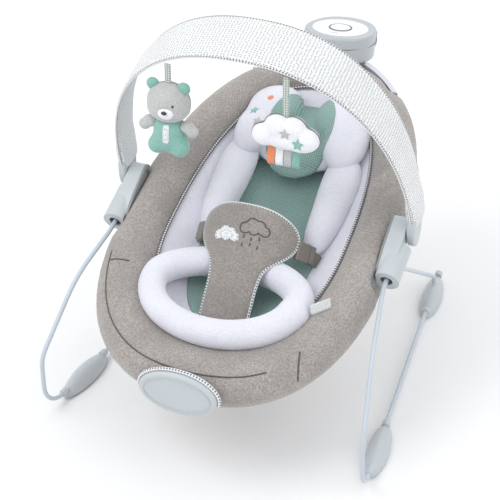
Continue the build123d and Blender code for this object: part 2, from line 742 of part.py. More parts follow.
def buckle_place():
    half = math.radians(WING_ANGLE)
    across = WING_RADIUS * math.sin(half) + (BUCKLE_LENGTH / 2 + GAP) * math.cos(half)
    normal = WING_RADIUS * (math.cos(half) - 1) - (BUCKLE_LENGTH / 2 + GAP) * math.sin(half)
    middle = (WING_BOTTOM + RESTRAINT_TOP) / 2 - 8
    return RESTRAINT.location * Pos(across, middle, normal) * Rot(0, WING_ANGLE, 0)


def buckle():
    body = fillet(Box(BUCKLE_LENGTH, BUCKLE_WIDTH, BUCKLE_THICK).edges(), 2)
    body -= Pos(BUCKLE_LENGTH / 2 - TONGUE_LENGTH / 2, 0, 0) * Box(TONGUE_LENGTH + 1, 16.8, 3.8)
    return buckle_place() * body


def tongue():
    prong = Pos(BUCKLE_LENGTH / 2 - TONGUE_LENGTH / 2 + 1, 0, 0) * Box(TONGUE_LENGTH, 16, 3)
    head = Pos(BUCKLE_LENGTH / 2 + GAP + 5, 0, 0) * fillet(Box(10, 25, 7).edges(), 1.5)
    return buckle_place() * (prong + head)


def waist_strap():
    start = BUCKLE_LENGTH / 2 + GAP + 10.3
    return buckle_place() * Pos(start + STRAP_LENGTH / 2, 0, 0) * Box(STRAP_LENGTH, 20, 2)


def side_tag():
    return Pos(139, -180, 232) * Rot(0, 0, 20) * Box(22, 1.2, 14)


# ---- Assembly ---------------------------------------------------------------------------
def build():
    upper, lower = frame_tubes(TUBE_DIAMETER / 2)
    keep("upper_frame_tube", upper)
    keep("lower_frame_tube", lower)
    both("hub_plate", hub_plate())
    both("hub_cover", hub_cover())
    keep("pitch_pins", pair(pitch_pins()))
    both("yoke", yoke())
    wire = leg_wire()
    both("leg_wire", wire)
    both("leg_socket", leg_socket(wire))
    both("feet", Compound(children=[foot(FRONT_FOOT_Y, wire), foot(REAR_FOOT_Y, wire)]))
    both("foot_soles", Compound(children=[sole(FRONT_FOOT_Y), sole(REAR_FOOT_Y)]))
    keep("toe_cover", toe_cover())
    keep("toe_clip", toe_clip())
    inside = {
        "unit_base": unit_base(), "unit_ring": unit_ring(), "control_panel": control_panel(),
        "power_button": power_button(), "main_board": main_board(), "speaker": speaker(),
        "battery_cells": battery_cells(), "battery_door": battery_door(),
        "drive_magnet": magnet(), "drive_arm": drive_arm(),
        "drive_coil": drive_coil(), "arm_axle": arm_axle(), "arm_spring": arm_spring(),
        "unit_screws": unit_screws(),
    }
    for name, shape in inside.items():
        keep(name, UNIT * shape)
    keep("neck_block", neck_block())
    keep("neck_cover", neck_cover())
    keep("toy_bar_strip", toy_bar_strip())
    keep("toy_bar_sleeve", toy_bar_sleeve())
    both("toy_bar_paddle", paddle())
    keep("toy_bar_pins", pair(bar_pin()))
    keep("bear_head", bear_head())
    keep("bear_body", bear_body())
    keep("bear_strap", hang_strap(BEAR_X, BEAR_TOP, 492, bear_head()))
    keep("cloud", cloud())
    keep("cloud_strap", hang_strap(CLOUD_X, CLOUD_TOP, 480, cloud()))
    keep("cloud_ribbons", cloud_ribbons(cloud()))
    keep("outer_pad", outer_pad())
    keep("seat_liner", liner())
    keep("mesh_panel", mesh_panel())
    for name, side in SIDES.items():
        keep("side_bolster_" + name, bolster(side))
    keep("leg_ring", leg_roll(LEG_ROLL_RADIUS))
    keep("headrest_pillow", headrest_pillow())
    keep("headrest_mesh", headrest_mesh())
    keep("crotch_restraint", crotch_restraint())
    keep("buckles", pair(buckle()))
    both("buckle_tongue", tongue())
    keep("waist_straps", pair(waist_strap() & well(LINER_WALL + 2 * SKIN_GAP)))
    keep("side_tag", side_tag() - parts["outer_pad"])
    for name, shape in parts.items():
        export_step(shape, f"parts/{name}.step")
    print(len(parts), "nodes")


build()
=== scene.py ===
"""Looks of the infant bouncer seat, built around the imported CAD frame."""

import json
import logging
import math
from dataclasses import dataclass
from enum import Enum
from typing import Callable, Iterable, Sequence

import bmesh
import bpy
from mathutils import Matrix, Vector
from mathutils.bvhtree import BVHTree


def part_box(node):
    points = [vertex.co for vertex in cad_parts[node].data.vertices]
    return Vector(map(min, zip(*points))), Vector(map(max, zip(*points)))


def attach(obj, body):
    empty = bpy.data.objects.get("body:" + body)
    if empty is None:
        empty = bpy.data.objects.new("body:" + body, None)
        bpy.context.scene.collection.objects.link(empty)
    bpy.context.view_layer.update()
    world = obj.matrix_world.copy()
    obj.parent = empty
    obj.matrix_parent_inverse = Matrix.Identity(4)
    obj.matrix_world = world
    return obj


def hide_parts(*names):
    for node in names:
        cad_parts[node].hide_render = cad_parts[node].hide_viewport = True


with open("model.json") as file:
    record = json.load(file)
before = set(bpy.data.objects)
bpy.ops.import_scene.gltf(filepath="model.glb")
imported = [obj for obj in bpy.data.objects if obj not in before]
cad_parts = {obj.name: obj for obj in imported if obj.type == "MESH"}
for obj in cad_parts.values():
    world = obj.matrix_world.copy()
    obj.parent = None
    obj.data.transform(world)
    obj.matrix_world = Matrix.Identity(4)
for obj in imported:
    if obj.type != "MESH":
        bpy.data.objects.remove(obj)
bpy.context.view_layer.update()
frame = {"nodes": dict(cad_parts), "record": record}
LOG = logging.getLogger("bouncer")
SIDES = {"left": -1.0, "right": 1.0}
Colour = tuple[float, float, float]
Blob = tuple[tuple[float, float, float], tuple[float, float, float]]  # a ball's centre and radii


# ---- Places ------------------------------------------------------------------------------
@dataclass(frozen=True)
class Place:
    """A frame that leans about the X axis.

    Args:
        origin: Its zero point, in metres.
        slope: How far its second direction rises from +Y, in degrees.
    """

    origin: tuple[float, float, float]
    slope: float

    def at(self, x: float, u: float, w: float) -> Vector:
        """Returns the point x across, u along the slope and w above it."""
        c, s = math.cos(math.radians(self.slope)), math.sin(math.radians(self.slope))
        ox, oy, oz = self.origin
        return Vector((ox + x, oy + u * c - w * s, oz + u * s + w * c))

    def local(self, point: Vector) -> Vector:
        """Returns a point's x, u and w."""
        c, s = math.cos(math.radians(self.slope)), math.sin(math.radians(self.slope))
        x, y, z = (point[i] - self.origin[i] for i in range(3))
        return Vector((x, y * c + z * s, z * c - y * s))

    def way(self, x: float, u: float, w: float) -> Vector:
        """Returns a step of x across, u along the slope and w above it."""
        return self.at(x, u, w) - self.at(0, 0, 0)


RIM = Place((0.0, -0.080, 0.250), 20.0)
UNIT = Place((0.0, 0.279, 0.392), -8.0)
ARCH = Place((0.0, -0.018, 0.289), 108.6)
RESTRAINT = Place((0.0, -0.191, 0.184), 48.85)
RIGHTWARD, BACKWARD, UPWARD = Vector((1, 0, 0)), Vector((0, 1, 0)), Vector((0, 0, 1))


def rounded(value: float, power: float) -> float:
    """Returns a value raised to a power with its sign kept."""
    return math.copysign(abs(value) ** power, value)


def circle(count: int) -> list[tuple[float, float]]:
    """Returns even steps round a circle as (cosine, sine)."""
    angles = (2 * math.pi * n / count for n in range(count))
    return [(math.cos(angle), math.sin(angle)) for angle in angles]


@dataclass(frozen=True)
class Oval:
    """A rounded outline with a short toe and a long head, in the rim's plane."""

    half_width: float
    toe: float
    head: float
    centre: float = 0.0
    power: float = 2.4

    def point(self, angle: float) -> tuple[float, float]:
        """Returns the outline's (x, u) at an angle in radians."""
        c, s = math.cos(angle), math.sin(angle)
        reach = self.head if s > 0 else self.toe
        x = self.half_width * rounded(c, 2 / self.power)
        u = self.centre + reach * rounded(s, 2 / self.power)
        return x, u

    def share(self, x: float, u: float) -> float:
        """Returns 0 at the centre, 1 on the outline and more beyond it."""
        reach = self.head if u > self.centre else self.toe
        across = (abs(x) / self.half_width) ** self.power
        along = (abs(u - self.centre) / reach) ** self.power
        return (across + along) ** (1 / self.power)


SEAM = Oval(0.131, 0.190, 0.285, 0.020)
SEAM_W = -0.016


def bowl(x: float, u: float) -> float:
    """Returns the height of the seat's inner surface over the rim plane."""
    return SEAM_W - 0.046 * (1 - min(SEAM.share(x, u), 1.0) ** 2.6)


# ---- Materials ---------------------------------------------------------------------------
class Weave(Enum):
    """How a fabric's surface is made."""

    PLUSH = "plush"
    KNIT = "knit"
    HOLES = "holes"
    SPECKS = "specks"
    DOTS = "dots"
    WEBBING = "webbing"


class Nodes:
    """A material's node tree with short calls for what the finishes share."""

    def __init__(self, name: str) -> None:
        """Starts a material with its shader and object coordinates."""
        self.material = bpy.data.materials.new(name)
        self.material.use_nodes = True
        self.tree = self.material.node_tree
        self.shader = self.tree.nodes["Principled BSDF"]
        self.coordinates = self.tree.nodes.new("ShaderNodeTexCoord")

    def node(self, kind: str, links: dict | None = None, **values: object) -> bpy.types.Node:
        """Adds a node.

        Args:
            kind: The node's type.
            links: Input name or number to the output that feeds it.
            values: Properties, or input values where the name is an input's.

        Returns:
            The new node.
        """
        made = self.tree.nodes.new(kind)
        for key, value in values.items():
            if hasattr(made, key):
                setattr(made, key, value)
            else:
                made.inputs[key].default_value = value
        for key, output in (links or {}).items():
            self.tree.links.new(output, made.inputs[key])
        return made

    def noise(self, scale: float, detail: float = 2.0) -> bpy.types.NodeSocket:
        """Returns a noise pattern's value."""
        source = self.coordinates.outputs["Object"]
        return self.node("ShaderNodeTexNoise", {"Vector": source}, Scale=scale,
                         Detail=detail).outputs["Fac"]

    def cells(self, scale: float, loose: float, stretch: float = 1.0) -> bpy.types.NodeSocket:
        """Returns the distance to the nearest of a flat pattern's points, on the UV map."""
        turned = self.node("ShaderNodeMapping", {"Vector": self.coordinates.outputs["UV"]},
                           Scale=(1.0, stretch, 1.0))
        made = self.node("ShaderNodeTexVoronoi", {"Vector": turned.outputs["Vector"]},
                         voronoi_dimensions="2D", Scale=scale, Randomness=loose)
        return made.outputs["Distance"]

    def ramp(self, value: bpy.types.NodeSocket, low: float, high: float) -> bpy.types.NodeSocket:
        """Returns 0 below low, 1 above high and a smooth step between."""
        made = self.node("ShaderNodeMapRange", {"Value": value}, interpolation_type="SMOOTHSTEP")
        made.inputs["From Min"].default_value = low
        made.inputs["From Max"].default_value = high
        return made.outputs["Result"]

    def mix(self, share: bpy.types.NodeSocket, first: object, second: object) -> bpy.types.NodeSocket:
        """Returns a colour between two colours or colour outputs."""
        made = self.node("ShaderNodeMix", data_type="RGBA")
        self.tree.links.new(share, made.inputs[0])
        for place, colour in ((6, first), (7, second)):
            if isinstance(colour, bpy.types.NodeSocket):
                self.tree.links.new(colour, made.inputs[place])
            else:
                made.inputs[place].default_value = (*colour, 1.0)
        return made.outputs[2]

    def bump(self, height: bpy.types.NodeSocket, depth: float, strength: float = 1.0,
             under: bpy.types.NodeSocket | None = None) -> bpy.types.NodeSocket:
        """Returns a normal raised by a height pattern."""
        made = self.node("ShaderNodeBump", {"Height": height}, Strength=strength, Distance=depth)
        if under:
            self.tree.links.new(under, made.inputs["Normal"])
        return made.outputs["Normal"]

    def close(self, colour: bpy.types.NodeSocket, normal: bpy.types.NodeSocket,
              roughness: float) -> bpy.types.Material:
        """Joins colour and normal to the shader and returns the material."""
        self.tree.links.new(colour, self.shader.inputs["Base Color"])
        self.tree.links.new(normal, self.shader.inputs["Normal"])
        self.shader.inputs["Roughness"].default_value = roughness
        return self.material


def shade(colour: Colour, factor: float) -> Colour:
    """Returns a colour made lighter or darker."""
    return tuple(min(1.0, part * factor) for part in colour)


@dataclass(frozen=True)
class Moulded:
    """Satin plastic with a fine spark-eroded grain."""

    name: str
    colour: Colour
    roughness: float = 0.42
    grain: float = 0.00006

    def make(self) -> bpy.types.Material:
        """Returns the material."""
        nodes = Nodes(self.name)
        tone = nodes.mix(nodes.noise(14.0, 3.0), shade(self.colour, 0.965), shade(self.colour, 1.03))
        return nodes.close(tone, nodes.bump(nodes.noise(1900.0, 2.0), self.grain), self.roughness)


@dataclass(frozen=True)
class Metal:
    """Bare or powder-coated metal."""

    name: str
    colour: Colour
    bare: bool = False

    def make(self) -> bpy.types.Material:
        """Returns the material."""
        nodes = Nodes(self.name)
        tone = nodes.mix(nodes.noise(40.0, 3.0), shade(self.colour, 0.95), shade(self.colour, 1.04))
        nodes.shader.inputs["Metallic"].default_value = 1.0 if self.bare else 0.0
        nodes.shader.inputs["Coat Weight"].default_value = 0.0 if self.bare else 0.25
        nodes.shader.inputs["Coat Roughness"].default_value = 0.3
        peel = nodes.bump(nodes.noise(650.0, 2.0), 0.00008)
        return nodes.close(tone, peel, 0.3 if self.bare else 0.38)


@dataclass(frozen=True)
class Fabric:
    """A woven, knitted or brushed cloth.

    Args:
        name: The material's name.
        colour: Its main colour.
        weave: How its surface is made.
        second: The colour of holes, specks or dots.
        size: The repeat of its pattern in metres.
        mottle: How much light and dark fibres differ.
    """

    name: str
    colour: Colour
    weave: Weave
    second: Colour = (0.1, 0.1, 0.1)
    size: float = 0.003
    mottle: float = 0.08

    def make(self) -> bpy.types.Material:
        """Returns the material."""
        nodes = Nodes(self.name)
        fibres = nodes.ramp(nodes.noise(420.0, 4.0), 0.36, 0.64)
        tone = nodes.mix(fibres, shade(self.colour, 1 - self.mottle), shade(self.colour, 1 + self.mottle))
        broad = nodes.ramp(nodes.noise(22.0, 3.0), 0.3, 0.7)
        tone = nodes.mix(broad, nodes.mix(fibres, shade(self.colour, 0.93 - self.mottle),
                                          shade(self.colour, 0.99)), tone)
        normal = nodes.bump(nodes.noise(1100.0, 3.0), 0.0007, 0.55)
        roughness = 0.92
        if self.weave is Weave.PLUSH:
            normal = nodes.bump(nodes.noise(190.0, 4.0), 0.0012, 0.5, normal)
        elif self.weave is Weave.KNIT:
            stitch = nodes.cells(1 / self.size, 0.15, 1.6)
            normal = nodes.bump(nodes.ramp(stitch, 0.1, 0.6), 0.0004, 0.6, normal)
        elif self.weave is Weave.HOLES:
            hole = nodes.ramp(nodes.cells(1 / self.size, 0.0), 0.22, 0.40)
            tone = nodes.mix(hole, self.second, tone)
            normal = nodes.bump(hole, 0.0008, 0.8, normal)
        elif self.weave is Weave.SPECKS:
            speck = nodes.ramp(nodes.cells(1 / self.size, 0.35, 1.25), 0.20, 0.30)
            tone = nodes.mix(speck, self.second, tone)
        elif self.weave is Weave.DOTS:
            dot = nodes.ramp(nodes.cells(1 / self.size, 0.0), 0.24, 0.34)
            tone = nodes.mix(dot, self.second, tone)
        else:
            rib = nodes.cells(1 / self.size, 0.0, 0.5)
            normal = nodes.bump(rib, 0.0006, 0.9, normal)
            roughness = 0.7
        nodes.shader.inputs["Sheen Weight"].default_value = 0.35
        nodes.shader.inputs["Sheen Roughness"].default_value = 0.5
        nodes.shader.inputs["Specular IOR Level"].default_value = 0.25
        return nodes.close(tone, normal, roughness)


FINISHES = {finish.name: finish for finish in (
    Metal("frame_tube", (0.55, 0.57, 0.59)),
    Metal("wire", (0.50, 0.56, 0.62)),
    Moulded("shell_plastic", (0.50, 0.535, 0.55)),
    Moulded("inner_plastic", (0.26, 0.27, 0.28), 0.55),
    Moulded("unit_plastic", (0.43, 0.46, 0.475), 0.3),
    Moulded("white_plastic", (0.82, 0.83, 0.85), 0.22),
    Moulded("button_plastic", (0.86, 0.86, 0.87), 0.18),
    Moulded("neck_plastic", (0.62, 0.62, 0.70), 0.45),
    Moulded("dark_plastic", (0.03, 0.03, 0.032), 0.35),
    Moulded("dark_trim", (0.16, 0.17, 0.18), 0.35),
    Metal("steel", (0.5, 0.5, 0.52), bare=True),
    Moulded("sole_rubber", (0.24, 0.26, 0.27), 0.75, 0.0002),
    Fabric("plush_grey", (0.355, 0.325, 0.300), Weave.PLUSH, mottle=0.20),
    Fabric("soft_white", (0.77, 0.77, 0.84), Weave.KNIT, size=0.0016, mottle=0.03),
    Fabric("mesh_mint", (0.31, 0.46, 0.42), Weave.HOLES, (0.15, 0.27, 0.24), 0.0031, 0.06),
    Fabric("restraint_grey", (0.315, 0.290, 0.265), Weave.PLUSH, mottle=0.18),
    Fabric("bar_fabric", (0.80, 0.80, 0.80), Weave.SPECKS, (0.27, 0.31, 0.30), 0.0046, 0.03),
    Fabric("bear_grey", (0.50, 0.50, 0.49), Weave.PLUSH, mottle=0.08),
    Fabric("bear_mint", (0.24, 0.46, 0.40), Weave.PLUSH, mottle=0.06),
    Fabric("cloud_white", (0.82, 0.82, 0.86), Weave.PLUSH, mottle=0.03),
    Fabric("ribbon", (0.74, 0.40, 0.25), Weave.WEBBING, size=0.0012),
    Fabric("dotted_strap", (0.33, 0.40, 0.36), Weave.DOTS, (0.75, 0.75, 0.72), 0.0034),
    Fabric("webbing", (0.17, 0.16, 0.13), Weave.WEBBING, size=0.0014),
    Moulded("buckle_plastic", (0.19, 0.17, 0.145), 0.4),
    Fabric("tag_fabric", (0.80, 0.83, 0.83), Weave.WEBBING, size=0.001),
    Moulded("board", (0.02, 0.12, 0.06), 0.35),
    Metal("cell", (0.2, 0.21, 0.22)),
    Metal("magnet", (0.4, 0.4, 0.42), bare=True),
    Metal("coil", (0.5, 0.2, 0.09), bare=True),
    Fabric("dotted_cord", (0.10, 0.10, 0.11), Weave.DOTS, (0.85, 0.85, 0.85), 0.0042, 0.02),
    Fabric("dotted_white", (0.78, 0.78, 0.79), Weave.DOTS, (0.10, 0.10, 0.10), 0.0042, 0.02),
    Fabric("pale_patch", (0.78, 0.78, 0.80), Weave.DOTS, (0.45, 0.5, 0.5), 0.006, 0.02),
    Fabric("grey_thread", (0.20, 0.20, 0.20), Weave.WEBBING, size=0.001),
    # A darker copy of plush_grey: real thread on the restraint's stitched cloud, and painted shade in the
    # shell's seam grooves.
    Fabric("thread_and_seam_shade", (0.10, 0.092, 0.085), Weave.WEBBING, size=0.001),
    Fabric("orange_felt", (0.80, 0.27, 0.12), Weave.PLUSH, mottle=0.05),
)}
MADE: dict[str, bpy.types.Material] = {}


def material(name: str) -> bpy.types.Material:
    """Returns a finish's material, made once."""
    if name not in MADE:
        MADE[name] = FINISHES[name].make()
    return MADE[name]


# ---- Building pieces ---------------------------------------------------------------------
def lay(bm: bmesh.types.BMesh, ring: list[bmesh.types.BMVert], points: Sequence[Vector]) -> None:
    """Moves a ring's vertices to points."""
    for vert, point in zip(ring, points, strict=True):
        vert.co = point


def extrude_ring(bm: bmesh.types.BMesh, ring: list[bmesh.types.BMVert],
                 closed: bool = True) -> list[bmesh.types.BMVert]:
    """Extrudes a ring and returns the new vertices in the old ones' order."""
    pairs = list(zip(ring, ring[1:] + ring[:1])) if closed else list(zip(ring, ring[1:]))
    edges = [bm.edges.get(pair) for pair in pairs]
    fresh = {g for g in bmesh.ops.extrude_edge_only(bm, edges=edges)["geom"]
             if isinstance(g, bmesh.types.BMVert)}
    return [next(e.other_vert(v) for e in v.link_edges if e.other_vert(v) in fresh) for v in ring]


def loft(rings: Sequence[Sequence[Vector]], cap: bool = True) -> bmesh.types.BMesh:
    """Skins closed rings in order.

    Args:
        rings: Lists of points of one length.
        cap: Whether the first and last rings are filled.

    Returns:
        The mesh, with a UV map of metres round and along.
    """
    bm = bmesh.new()
    ring = list(bmesh.ops.create_circle(bm, segments=len(rings[0]), radius=1.0)["verts"])
    lay(bm, ring, rings[0])
    order = [ring]
    for points in rings[1:]:
        ring = extrude_ring(bm, ring)
        lay(bm, ring, points)
        order.append(ring)
    if cap:
        for end in (order[0], order[-1]):
            edges = [bm.edges.get(pair) for pair in zip(end, end[1:] + end[:1])]
            bmesh.ops.edgeloop_fill(bm, edges=edges)
    layer = bm.loops.layers.uv.new("UVMap")
    along = [0.0]
    for before, after in zip(rings, rings[1:]):
        along.append(along[-1] + sum((b - a).length for a, b in zip(before, after)) / len(before))
    around = [0.0]
    widest = max(rings, key=lambda points: (points[0] - points[len(points) // 2]).length)
    for a, b in zip(widest, [*widest[1:], widest[0]]):
        around.append(around[-1] + (b - a).length)
    place = {vert: (n, m) for n, row in enumerate(order) for m, vert in enumerate(row)}
    for face in bm.faces:
        columns = [place[loop.vert][1] for loop in face.loops]
        wraps = max(columns) - min(columns) > len(rings[0]) // 2
        for loop in face.loops:
            n, m = place[loop.vert]
            loop[layer].uv = (along[n], around[len(rings[0]) if wraps and m == 0 else m])
    return bm


def circle_rings(path: Sequence[Vector], radius: Callable[[float], float], sides: int,
                 closed: bool = False) -> list[list[Vector]]:
    """Returns circles of points that stand square to a path.

    Args:
        path: The points of the middle line.
        radius: The radius at a share, from 0 to 1, of the path.
        sides: Points in each circle.
        closed: Whether the path comes back to its start.

    Returns:
        One circle for each point.
    """
    rings = []
    count = len(path)
    side = None
    for n, point in enumerate(path):
        after = path[(n + 1) % count] if closed or n + 1 < count else point
        before = path[n - 1] if closed or n else point
        ahead = (after - before).normalized()
        if side is None:
            side = ahead.orthogonal().normalized()
        side = (side - ahead * side.dot(ahead)).normalized()
        across = ahead.cross(side)
        r = radius(n / max(1, count - 1))
        rings.append([point + side * (r * c) + across * (r * s) for c, s in circle(sides)])
    return rings


def cord_mesh(path: Sequence[Vector], radius: float, sides: int = 8) -> bmesh.types.BMesh:
    """Returns a thin round bead along a path, closed into a loop where its ends meet."""
    loop = (path[0] - path[-1]).length < 1e-6
    points = list(path[:-1]) if loop else list(path)
    rings = circle_rings(points, lambda _: radius, sides, loop)
    if loop:
        rings.append(rings[0])
    bm = loft(rings, cap=not loop)
    bmesh.ops.remove_doubles(bm, verts=bm.verts, dist=1e-6)
    return bm


def ball(centre: Vector, radii: tuple[float, float, float], turn: Matrix | None = None,
         bm: bmesh.types.BMesh | None = None) -> bmesh.types.BMesh:
    """Adds a stretched ball and returns its mesh."""
    bm = bm or bmesh.new()
    place = Matrix.Translation(centre) @ (turn or Matrix.Identity(4)) @ Matrix.Diagonal((*radii, 1.0))
    bmesh.ops.create_icosphere(bm, subdivisions=4, radius=1.0, matrix=place)
    return bm


def lean(degrees: float) -> Matrix:
    """Returns a turn about the X axis."""
    return Matrix.Rotation(math.radians(degrees), 4, "X")


def surface(thing: bpy.types.Object) -> BVHTree:
    """Returns a piece's surface, ready for casting rays at."""
    return BVHTree.FromObject(thing, bpy.context.evaluated_depsgraph_get())


def remesh(thing: bpy.types.Object, voxel: float) -> None:
    """Joins a piece's overlapping balls into one skin of even faces."""
    modifier = thing.modifiers.new("skin", "REMESH")
    modifier.mode = "VOXEL"
    modifier.voxel_size = voxel
    modifier.use_smooth_shade = True
    apply_modifiers(thing)


def apply_modifiers(thing: bpy.types.Object) -> None:
    """Bakes a piece's modifiers into its mesh."""
    graph = bpy.context.evaluated_depsgraph_get()
    mesh = bpy.data.meshes.new_from_object(thing.evaluated_get(graph))
    thing.modifiers.clear()
    thing.data = mesh


def soften(thing: bpy.types.Object, rounds: int) -> None:
    """Smooths a piece's mesh."""
    bm = bmesh.new()
    bm.from_mesh(thing.data)
    for _ in range(rounds):
        bmesh.ops.smooth_vert(bm, verts=bm.verts, factor=0.5, use_axis_x=True,
                              use_axis_y=True, use_axis_z=True)
    bm.to_mesh(thing.data)
    bm.free()


CLOTH_STEPS = 20


def swell(thing: bpy.types.Object, voxel: float, cap: float,
          pinned: Callable[[Vector], float] | None = None) -> None:
    """Puffs a piece up with a short cloth run and keeps the result.

    Args:
        thing: A closed piece.
        voxel: The cloth's face size in metres.
        cap: How far a point may move.
        pinned: How firmly a point is held, from 0 to 1, as along a seam.
    """
    remesh(thing, voxel)
    start = [v.co.copy() for v in thing.data.vertices]
    cloth = thing.modifiers.new("cloth", "CLOTH")
    settings = cloth.settings
    settings.quality = 4
    settings.mass = 0.2
    settings.use_pressure = True
    settings.uniform_pressure_force = 4.0
    settings.tension_stiffness = 12
    settings.compression_stiffness = 12
    settings.bending_stiffness = 0.4
    settings.effector_weights.gravity = 0.0
    if pinned:
        group = thing.vertex_groups.new(name="seam")
        for n, point in enumerate(start):
            group.add([n], pinned(point), "REPLACE")
        settings.vertex_group_mass = "seam"
    scene = bpy.context.scene
    for step in range(1, CLOTH_STEPS + 1):
        scene.frame_set(step)
    apply_modifiers(thing)
    scene.frame_set(1)
    for vert, old in zip(thing.data.vertices, start):
        move = vert.co - old
        if move.length > cap:
            vert.co = old + move.normalized() * cap


def map_flat(thing: bpy.types.Object, place: Place) -> None:
    """Gives a piece a UV map of metres, laid flat on a place's plane."""
    mesh = thing.data
    layer = mesh.uv_layers.get("UVMap") or mesh.uv_layers.new(name="UVMap")
    for loop in mesh.loops:
        local = place.local(mesh.vertices[loop.vertex_index].co)
        layer.data[loop.index].uv = (local.x, local.y)


def piece(name: str, bm: bmesh.types.BMesh, finish: str, body: str = "seat",
          replaces: Iterable[str] = (), levels: int = 0) -> bpy.types.Object:
    """Turns a mesh into a named piece that rides on a body.

    Args:
        name: The piece's name.
        bm: Its mesh, which is freed.
        finish: The finish's name.
        body: The CAD body that it moves with.
        replaces: CAD nodes that it stands for.
        levels: Rounds of subdivision.

    Returns:
        The object.
    """
    bmesh.ops.recalc_face_normals(bm, faces=bm.faces)
    mesh = bpy.data.meshes.new(name)
    bm.to_mesh(mesh)
    bm.free()
    mesh.shade_smooth()
    thing = bpy.data.objects.new(name, mesh)
    bpy.context.scene.collection.objects.link(thing)
    mesh.materials.append(material(finish))
    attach(thing, body)
    if replaces:
        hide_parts(*replaces)
    SLOT_OF.get(finish, finish)
    if levels:
        modifier = thing.modifiers.new("round", "SUBSURF")
        modifier.levels = levels
        modifier.render_levels = levels
    LOG.info("%s on %s", name, body)
    return thing


# The record's nearest slot for the finish of each small trim; piece looks it up but does not use the
# result.
SLOT_OF = {
    "neck_plastic": "shell_plastic", "dark_plastic": "buckle_plastic", "dotted_cord": "dotted_strap",
    "dotted_white": "dotted_strap", "pale_patch": "cloud_white", "grey_thread": "webbing",
    "orange_felt": "ribbon", "dark_trim": "unit_plastic", "thread_and_seam_shade": "plush_grey",
}


